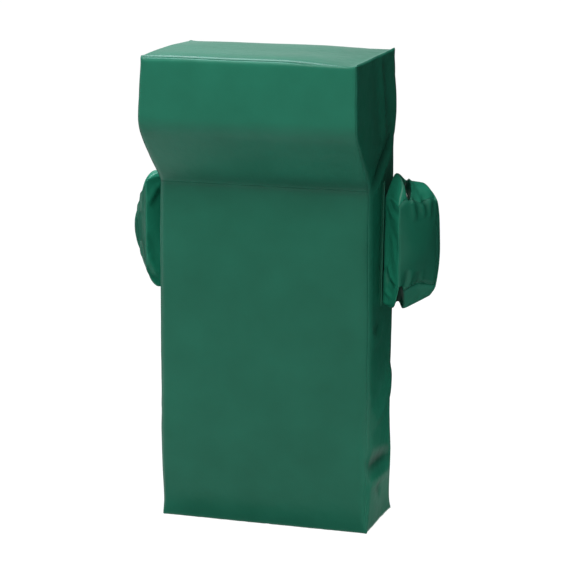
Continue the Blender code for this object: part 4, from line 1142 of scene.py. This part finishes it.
def stitch(name, runs, material, body):
    """Rows of short raised stitches along runs of (place, facing)."""
    rows = 5
    corners = 5
    points = []
    faces = []
    for run in runs:
        places = np.array([place for place, _ in run])
        facings = np.array([facing for _, facing in run])
        done = run_lengths(places)
        count = max(int(done[-1] / STITCH_PITCH), 1)
        for number in range(count):
            middle = (number + 0.5) * done[-1] / count
            marks = middle + np.linspace(-0.5, 0.5, rows) * STITCH_LENGTH
            line = np.stack([np.interp(marks, done, places[:, axis]) for axis in range(3)], 1)
            facing = np.array([np.interp(middle, done, facings[:, axis]) for axis in range(3)])
            facing /= np.linalg.norm(facing)
            way = line[-1] - line[0]
            way /= max(np.linalg.norm(way), 1e-9)
            across = np.cross(way, facing)
            first = len(points)
            for share, centre in zip(np.linspace(-1, 1, rows), line):
                arc = 1 - share * share
                radius = THREAD_RADIUS * (THREAD_TIP_SHARE + (1 - THREAD_TIP_SHARE) * arc)
                centre = centre + facing * (THREAD_RADIUS * (THREAD_RISE * arc - THREAD_SINK))
                points.extend(centre + radius * (c * across + s * facing) for c, s in circle(corners))
            faces += ring_faces(rows, corners, first, (1, 0, 3, 2))
            faces.append(tuple(range(first, first + corners)))
            faces.append(tuple(range(len(points) - corners, len(points)))[::-1])
    settle(mesh_object(name, points, faces, material), body)


# The hand holds
PATCH_CORNER = 0.012
PATCH_PUFF = 0.0006
PATCH_HEM = 0.0045
CORD_RADIUS = 0.0060
HOLD_LEAD = 0.006
HOLD_BEND = 0.046
STRAP_THICKNESS = 0.0044
STRAP_TAIL = 0.042
LAP_DEPTH = 0.13
LAP_WIDTH = 0.16
GRIP_RIBS = 13
GRIP_GROOVE = 0.0006
GRIP_EDGE = 0.0030
STRAP_INSET = 0.0035


def rounded_outline(half_width, half_height, radius, steps=6, runs=14):
    """The points of a rectangle with round corners, anticlockwise."""
    radius = min(radius, half_width, half_height)
    points = []
    for corner, (sx, sy) in enumerate(((1, 1), (-1, 1), (-1, -1), (1, -1))):
        for step in range(steps + 1):
            angle = math.pi / 2 * (corner + step / steps)
            x = sx * (half_width - radius) + radius * math.cos(angle)
            y = sy * (half_height - radius) + radius * math.sin(angle)
            points.append((x, y))
    corner = steps + 1
    full = []
    for i in range(4):
        arc = points[i * corner : (i + 1) * corner]
        following = points[((i + 1) % 4) * corner]
        full.extend(arc)
        for run in range(1, runs):
            share = run / runs
            full.append(tuple(a + (b - a) * share for a, b in zip(arc[-1], following)))
    return full


def build_patch(side_name):
    """The vinyl patch under a hand hold, hemmed and stitched to the back."""
    middle, half = box_middle("hold_patch_" + side_name)
    rises = (
        (0.0, 0.0001),
        (0.0002, 0.0009),
        (0.0010, VINYL_THICKNESS),
        (PATCH_HEM - 0.0010, VINYL_THICKNESS),
        (PATCH_HEM, VINYL_THICKNESS - 0.0003),
        (PATCH_HEM + 0.0010, VINYL_THICKNESS),
        (PATCH_HEM * 2, VINYL_THICKNESS + PATCH_PUFF),
        (half[0] * 0.6, VINYL_THICKNESS + PATCH_PUFF / 2),
        (half[0] * 0.97, VINYL_THICKNESS + PATCH_PUFF / 2),
    )
    rings = []
    for inset, rise in rises:
        outline = rounded_outline(half[0] - inset, half[2] - inset, PATCH_CORNER * (1 - inset / half[0]))
        rings.append([on_back(middle[0] + x, middle[2] + z, rise)[0] for x, z in outline])
    corners = len(rings[0])
    faces = ring_faces(len(rings), corners, order=(0, 3, 2, 1))
    last = (len(rings) - 1) * corners
    faces.append(tuple(range(last, last + corners))[::-1])
    faces.append(tuple(range(corners)))
    patch = mesh_object("hold_patch_cover_" + side_name, np.concatenate(rings), faces, VINYL)
    settle(patch, "bag", ["hold_patch_" + side_name])
    seam = rounded_outline(half[0] - PATCH_HEM, half[2] - PATCH_HEM, PATCH_CORNER - PATCH_HEM / 2)
    run = [on_back(middle[0] + x, middle[2] + z, VINYL_THICKNESS) for x, z in seam + seam[:1]]
    stitch("hold_patch_stitches_" + side_name, [run], THREAD, "bag")


def squared_ring(width, thickness, power, corners=32):
    """A closed ring across and through: round at power 2, and squarer as the power grows."""
    ring = []
    for step in range(corners):
        angle = TAU * (step + 0.5) / corners
        across = math.copysign(abs(math.cos(angle)) ** (2 / power), math.cos(angle))
        through = math.copysign(abs(math.sin(angle)) ** (2 / power), math.sin(angle))
        ring.append((across * width / 2, through * thickness / 2))
    return ring


def build_anchor(name, upward):
    """A strap's sewn end: folded webbing, flat under its stitching and gathered to the round."""
    low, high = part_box(name)
    x = (low.x + high.x) / 2
    width = high.x - low.x
    length = high.z - low.z
    start, way = (low.z, 1.0) if upward else (high.z, -1.0)
    cord = 2 * CORD_RADIUS
    flat = STRAP_THICKNESS
    # Each row: distance from the loop, width, thickness and squareness
    table = np.array((
        (0.000, cord, cord, 2.0),
        (0.006, cord * 1.02, cord, 2.0),
        (0.012, width * 0.48, cord * 0.80, 2.5),
        (0.018, width * 0.78, cord * 0.58, 3.5),
        (0.0235, width * 0.985, flat * 1.05, 6.0),
        (0.027, width, flat, 8.0),
        (length - 0.0030, width, flat, 8.0),
        (length - 0.0008, width * 0.985, flat * 0.86, 6.0),
        (length, width * 0.96, flat * 0.50, 6.0),
    ))
    gathered = np.linspace(0.0, 0.027, 20)
    sewn = np.linspace(0.030, length - 0.003, 12)
    rings = []
    for place in np.concatenate([gathered, sewn, table[-2:, 0]]):
        wide, thick, power = (np.interp(place, table[:, 0], table[:, i]) for i in (1, 2, 3))
        ring = [
            (x + across, low.y + thick / 2 + through, start + way * place)
            for across, through in squared_ring(wide, thick, power)
        ]
        rings.append(ring if upward else ring[::-1])
    anchor = tube(name.replace("anchor", "strap_end"), rings, WEBBING)
    settle(anchor, "bag", [name])

    near = start + way * (length - STRAP_TAIL + STRAP_INSET)
    far = start + way * (length - STRAP_INSET)
    half = width / 2 - STRAP_INSET
    corners = [(-half, near), (half, near), (half, far), (-half, far), (-half, near)]
    lines = list(zip(corners, corners[1:])) + [((-half, near), (half, far)), ((half, near), (-half, far))]
    facing = np.array([0.0, 1.0, 0.0])
    runs = []
    for (x0, z0), (x1, z1) in lines:
        spots = [(x + x0 + (x1 - x0) * k / 6, low.y + flat, z0 + (z1 - z0) * k / 6) for k in range(7)]
        runs.append([(np.array(spot), facing) for spot in spots])
    stitch(name.replace("anchor", "strap_stitches"), runs, BLACK_THREAD, "bag")


def build_loop(side_name):
    """The webbing of a hand hold, folded round its core and sewn along its inner side."""
    low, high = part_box("hold_loop_" + side_name)
    x = (low.x + high.x) / 2
    axis = low.y + CORD_RADIUS
    reach = high.y - CORD_RADIUS - axis
    line = [(axis, low.z)]
    for share in [step / 24 for step in range(25)]:
        line.append((axis + reach * float(smoothstep(share)), low.z + HOLD_LEAD + HOLD_BEND * share))
    middle = (low.z + high.z) / 2
    line += [(line[-1][0], middle)]
    line += [(y, 2 * middle - z) for y, z in line[-2::-1]]
    line = np.array(line)
    ways = np.gradient(line, axis=0)
    ways /= np.linalg.norm(ways, axis=1)[:, None]
    corners = 28
    section = []
    for number, (across, out) in enumerate(circle(corners)):
        lap = bell(TAU * number / corners - 1.5 * math.pi, LAP_WIDTH)
        radius = CORD_RADIUS * (1 - LAP_DEPTH * lap)
        section.append((radius * across, radius * out))
    rings = [
        [(x + across, y + out * way_z, z - out * way_y) for across, out in section]
        for (y, z), (way_y, way_z) in zip(line, ways)
    ]
    loop = tube("hold_webbing_" + side_name, rings, WEBBING)
    settle(loop, "hold_" + side_name, ["hold_loop_" + side_name])


def build_grip(side_name):
    """The moulded sleeve on a loop: a bored barrel with shallow grooves and round ends."""
    middle, (radius, _, half) = box_middle("hold_grip_" + side_name)
    bore = CORD_RADIUS + FIT
    edge = GRIP_EDGE
    profile = [(bore, -half + edge / 2), (bore + edge / 3, -half)]
    for step in range(7):
        angle = math.pi / 2 * step / 6
        out = radius - 2 * edge + edge * (1 + math.sin(angle)) - edge / 3
        profile.append((out, -half + edge * (1 - math.cos(angle))))
    span = half - 2 * edge
    samples = GRIP_RIBS * 8
    for step in range(samples + 1):
        z = -span + 2 * span * step / samples
        groove = max(0.0, -math.cos(TAU * GRIP_RIBS * step / samples)) ** 3
        profile.append((radius - edge / 3 * (z / half) ** 2 - GRIP_GROOVE * groove, z))
    profile += [(r, -z) for r, z in profile[8::-1]]
    corners = 40
    points = [middle + (r * c, r * s, z) for r, z in profile for c, s in circle(corners)]
    faces = ring_faces(len(profile), corners, closed=True)
    grip = mesh_object("hold_sleeve_" + side_name, points, faces, RUBBER)
    settle(grip, "hold_" + side_name, ["hold_grip_" + side_name])


# The zip's tapes and the stitching beside it
TAPE_CORD = 0.0004
TAPE_CORD_SHARE = 0.10
TAPE_THICKNESS_SHARE = 0.75
TOPSTITCH_OFFSET = 0.0032


def build_tape(side_name, side):
    """A zip tape: a thin woven strip with a thicker edge along its teeth."""
    low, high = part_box("zip_tape_" + side_name)
    inner, outer = (low.x, high.x) if side > 0 else (high.x, low.x)
    thick = high.y - low.y
    shares = [step / 14 for step in range(15)]
    section = []
    for share in shares:
        cord = TAPE_CORD * bell(share, TAPE_CORD_SHARE) / 2
        section.append((share, low.y + thick * TAPE_THICKNESS_SHARE + cord))
    section += [(share, low.y) for share in reversed(shares)]
    rings = []
    for z in np.linspace(low.z, high.z, 80):
        ring = [(inner + (outer - inner) * share, y, z) for share, y in section]
        rings.append(ring if side > 0 else ring[::-1])
    tape = tube("zip_woven_" + side_name, rings, TAPE)
    settle(tape, "bag", ["zip_tape_" + side_name])


def build_topstitch():
    """The stitching round the zip's slot."""
    half = SLOT_HALF_WIDTH + TOPSTITCH_OFFSET
    low = SLOT_LOW - TOPSTITCH_OFFSET
    high = SLOT_HIGH + TOPSTITCH_OFFSET
    corners = [(half, low), (half, high), (-half, high), (-half, low), (half, low)]
    runs = []
    for (x0, z0), (x1, z1) in zip(corners, corners[1:]):
        steps = 60 if x0 == x1 else 4
        spots = [(x0 + (x1 - x0) * k / steps, z0 + (z1 - z0) * k / steps) for k in range(steps + 1)]
        runs.append([on_back(x, z) for x, z in spots])
    stitch("zip_topstitches", runs, THREAD, "bag")


def dress_hardware():
    """Finishes for the pieces whose CAD shape is right."""
    finishes = {
        "zip_teeth_left": PLASTIC,
        "zip_teeth_right": PLASTIC,
        "zip_bottom_stop": METAL,
        "zip_top_stop": METAL,
        "zip_slider": METAL,
        "zip_pull": METAL,
        **{name: BRASS for name in EYELETS},
    }
    for name, material in finishes.items():
        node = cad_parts[name]
        node.data.materials.clear()
        node.data.materials.append(material)


def build_camera():
    """The photograph's view. The image's size, the focal length and the shift are in pixels."""
    azimuth = math.radians(17.4)
    elevation = math.radians(12.7)
    distance = 4.0
    image = 565.0
    focal = 2262.0
    shift = (9.0, 6.5)
    target = Vector((0.0, -0.029, 0.42))
    level = math.cos(elevation)
    way = Vector((math.sin(azimuth) * level, -math.cos(azimuth) * level, math.sin(elevation)))
    data = bpy.data.cameras.new("camera")
    data.sensor_width = 36.0
    data.lens = focal * data.sensor_width / image
    data.shift_x = shift[0] / image
    data.shift_y = shift[1] / image
    camera = link("camera", data)
    camera.location = target + way * distance
    camera.rotation_euler = (math.pi / 2 - elevation, 0.0, azimuth)
    bpy.context.scene.camera = camera


def seen_directly(tree):
    """1 for rays from the camera and for those that mirrors and glass send on."""
    path = add(tree, "LightPath").outputs
    first = add(tree, "Math", {0: path["Is Camera Ray"], 1: path["Is Glossy Ray"]}, operation="MAXIMUM")
    both = {0: first.outputs["Value"], 1: path["Is Transmission Ray"]}
    return add(tree, "Math", both, operation="MAXIMUM").outputs["Value"]


# The white room: its floor's size, place, grey and glow, and how much light it gives back
WHITE = (1.0, 1.0, 1.0, 1.0)
FLOOR_HALF = 30.0
FLOOR_DROP = 0.0005
FLOOR_GREY = (0.70, 0.70, 0.70, 1.0)
FLOOR_GLOW = 1.12
FLOOR_GLOW_SHARE = 0.88
WORLD_FILL = 0.29
SCREEN_BLACK = (0.01, 0.01, 0.01, 1.0)


def build_world():
    """A white room: plain white where it is seen, and a dim even light on the object."""
    world = bpy.data.worlds.new("white_room")
    bpy.context.scene.world = world
    world.use_nodes = True
    tree = world.node_tree
    ground = tree.nodes["Background"]
    ground.inputs["Color"].default_value = WHITE
    tree.links.new(between(tree, seen_directly(tree), WORLD_FILL, 1.0), ground.inputs["Strength"])


def plane(name, half):
    """A flat square for the studio, facing up."""
    shape = bmesh.new()
    bmesh.ops.create_grid(shape, x_segments=1, y_segments=1, size=half)
    return shape_object(name, shape)


def build_floor():
    """A wide white floor that keeps the object's shadow."""
    floor = plane("floor", FLOOR_HALF)
    floor.location.z = -FLOOR_DROP
    made, tree, shader = new_material("floor_white", 0.9, specular=0.0)
    shader.inputs["Base Color"].default_value = FLOOR_GREY
    glow = add(tree, "Emission", {"Color": WHITE, "Strength": FLOOR_GLOW})
    blend = add(tree, "MixShader")
    tree.links.new(between(tree, seen_directly(tree), 0.0, FLOOR_GLOW_SHARE), blend.inputs["Fac"])
    tree.links.new(shader.outputs["BSDF"], blend.inputs[1])
    tree.links.new(glow.outputs["Emission"], blend.inputs[2])
    tree.links.new(blend.outputs["Shader"], tree.nodes["Material Output"].inputs["Surface"])
    floor.data.materials.append(made)


def add_screen(name, place, facing, size, glow):
    """A dark or grey screen that only reflections see, as a studio puts beside a glossy thing."""
    screen = plane(name, 0.5)
    screen.location = place
    screen.rotation_euler = Vector(facing).to_track_quat("Z", "Y").to_euler()
    screen.scale = (*size, 1.0)
    made, _, shader = new_material("dark_cloth", 1.0, specular=0.0)
    shader.inputs["Base Color"].default_value = SCREEN_BLACK
    shader.inputs["Emission Color"].default_value = WHITE
    shader.inputs["Emission Strength"].default_value = glow
    screen.data.materials.append(made)
    for ray in ("camera", "diffuse", "shadow", "transmission"):
        setattr(screen, "visible_" + ray, False)


def add_softbox(name, place, target, size, power):
    """A large soft lamp that faces a point."""
    data = bpy.data.lights.new(name, "AREA")
    data.shape = "RECTANGLE"
    data.size, data.size_y = size
    data.energy = power
    lamp = link(name, data)
    lamp.location = place
    lamp.rotation_euler = (Vector(target) - Vector(place)).to_track_quat("-Z", "Y").to_euler()
    return lamp


# Ways that the studio's screens face
FACING_UP = (0.0, 0.0, 1.0)
FACING_FRONT = (0.0, -1.0, 0.0)
FACING_LEFT = (-1.0, 0.0, 0.0)
# Each row: the screen's name, place, facing, size and glow
SCREENS = (
    ("back_screen", (0.87, 0.36, 0.62), FACING_FRONT, (1.5, 1.24), 0.0),
    ("side_screen", (1.00, 0.05, 0.62), FACING_LEFT, (0.9, 1.24), 0.0),
    ("left_screen", (-1.05, 0.60, 0.50), FACING_FRONT, (0.9, 1.00), 0.0),
    ("low_screen", (0.62, 0.12, 0.004), FACING_UP, (1.1, 0.56), 0.19),
    ("slope_screen", (0.0, -0.115, 0.004), FACING_UP, (0.90, 0.07), 0.12),
    ("far_screen", (-0.25, 1.50, 1.70), FACING_FRONT, (2.6, 1.7), 0.53),
)


def build_light():
    """Soft studio light from the front, above and low at the right, and screens for reflections."""
    middle = (0.0, 0.0, 0.45)
    add_softbox("key_softbox", (0.02, -2.0, 2.95), middle, (1.1, 1.2), 72.0)
    low = add_softbox("low_softbox", (0.60, 0.05, 0.07), (0.0, 0.05, 0.10), (0.6, 0.14), 0.38)
    low.data.spread = math.radians(80.0)
    low.visible_camera = False
    low.visible_glossy = False
    top = add_softbox("top_softbox", (-0.6, 0.2, 2.4), middle, (1.6, 1.4), 67.0)
    top.data.color = (0.98, 1.0, 1.12)
    for row in SCREENS:
        add_screen(*row)


build_camera()
build_world()
build_floor()
build_light()
BAG = build_bag()
BACK_SKIN = surface_tree(BAG, ["back"])
build_foam()
build_topstitch()
for each_name, each_side in SIDES:
    build_wing(each_name, each_side)
    build_wing_foam(each_name, each_side)
    build_welt(each_name, each_side)
    build_patch(each_name)
    build_anchor("hold_anchor_upper_" + each_name, True)
    build_anchor("hold_anchor_lower_" + each_name, False)
    build_loop(each_name)
    build_grip(each_name)
    build_tape(each_name, each_side)
dress_hardware()

bpy.context.scene.view_settings.view_transform = "Standard"
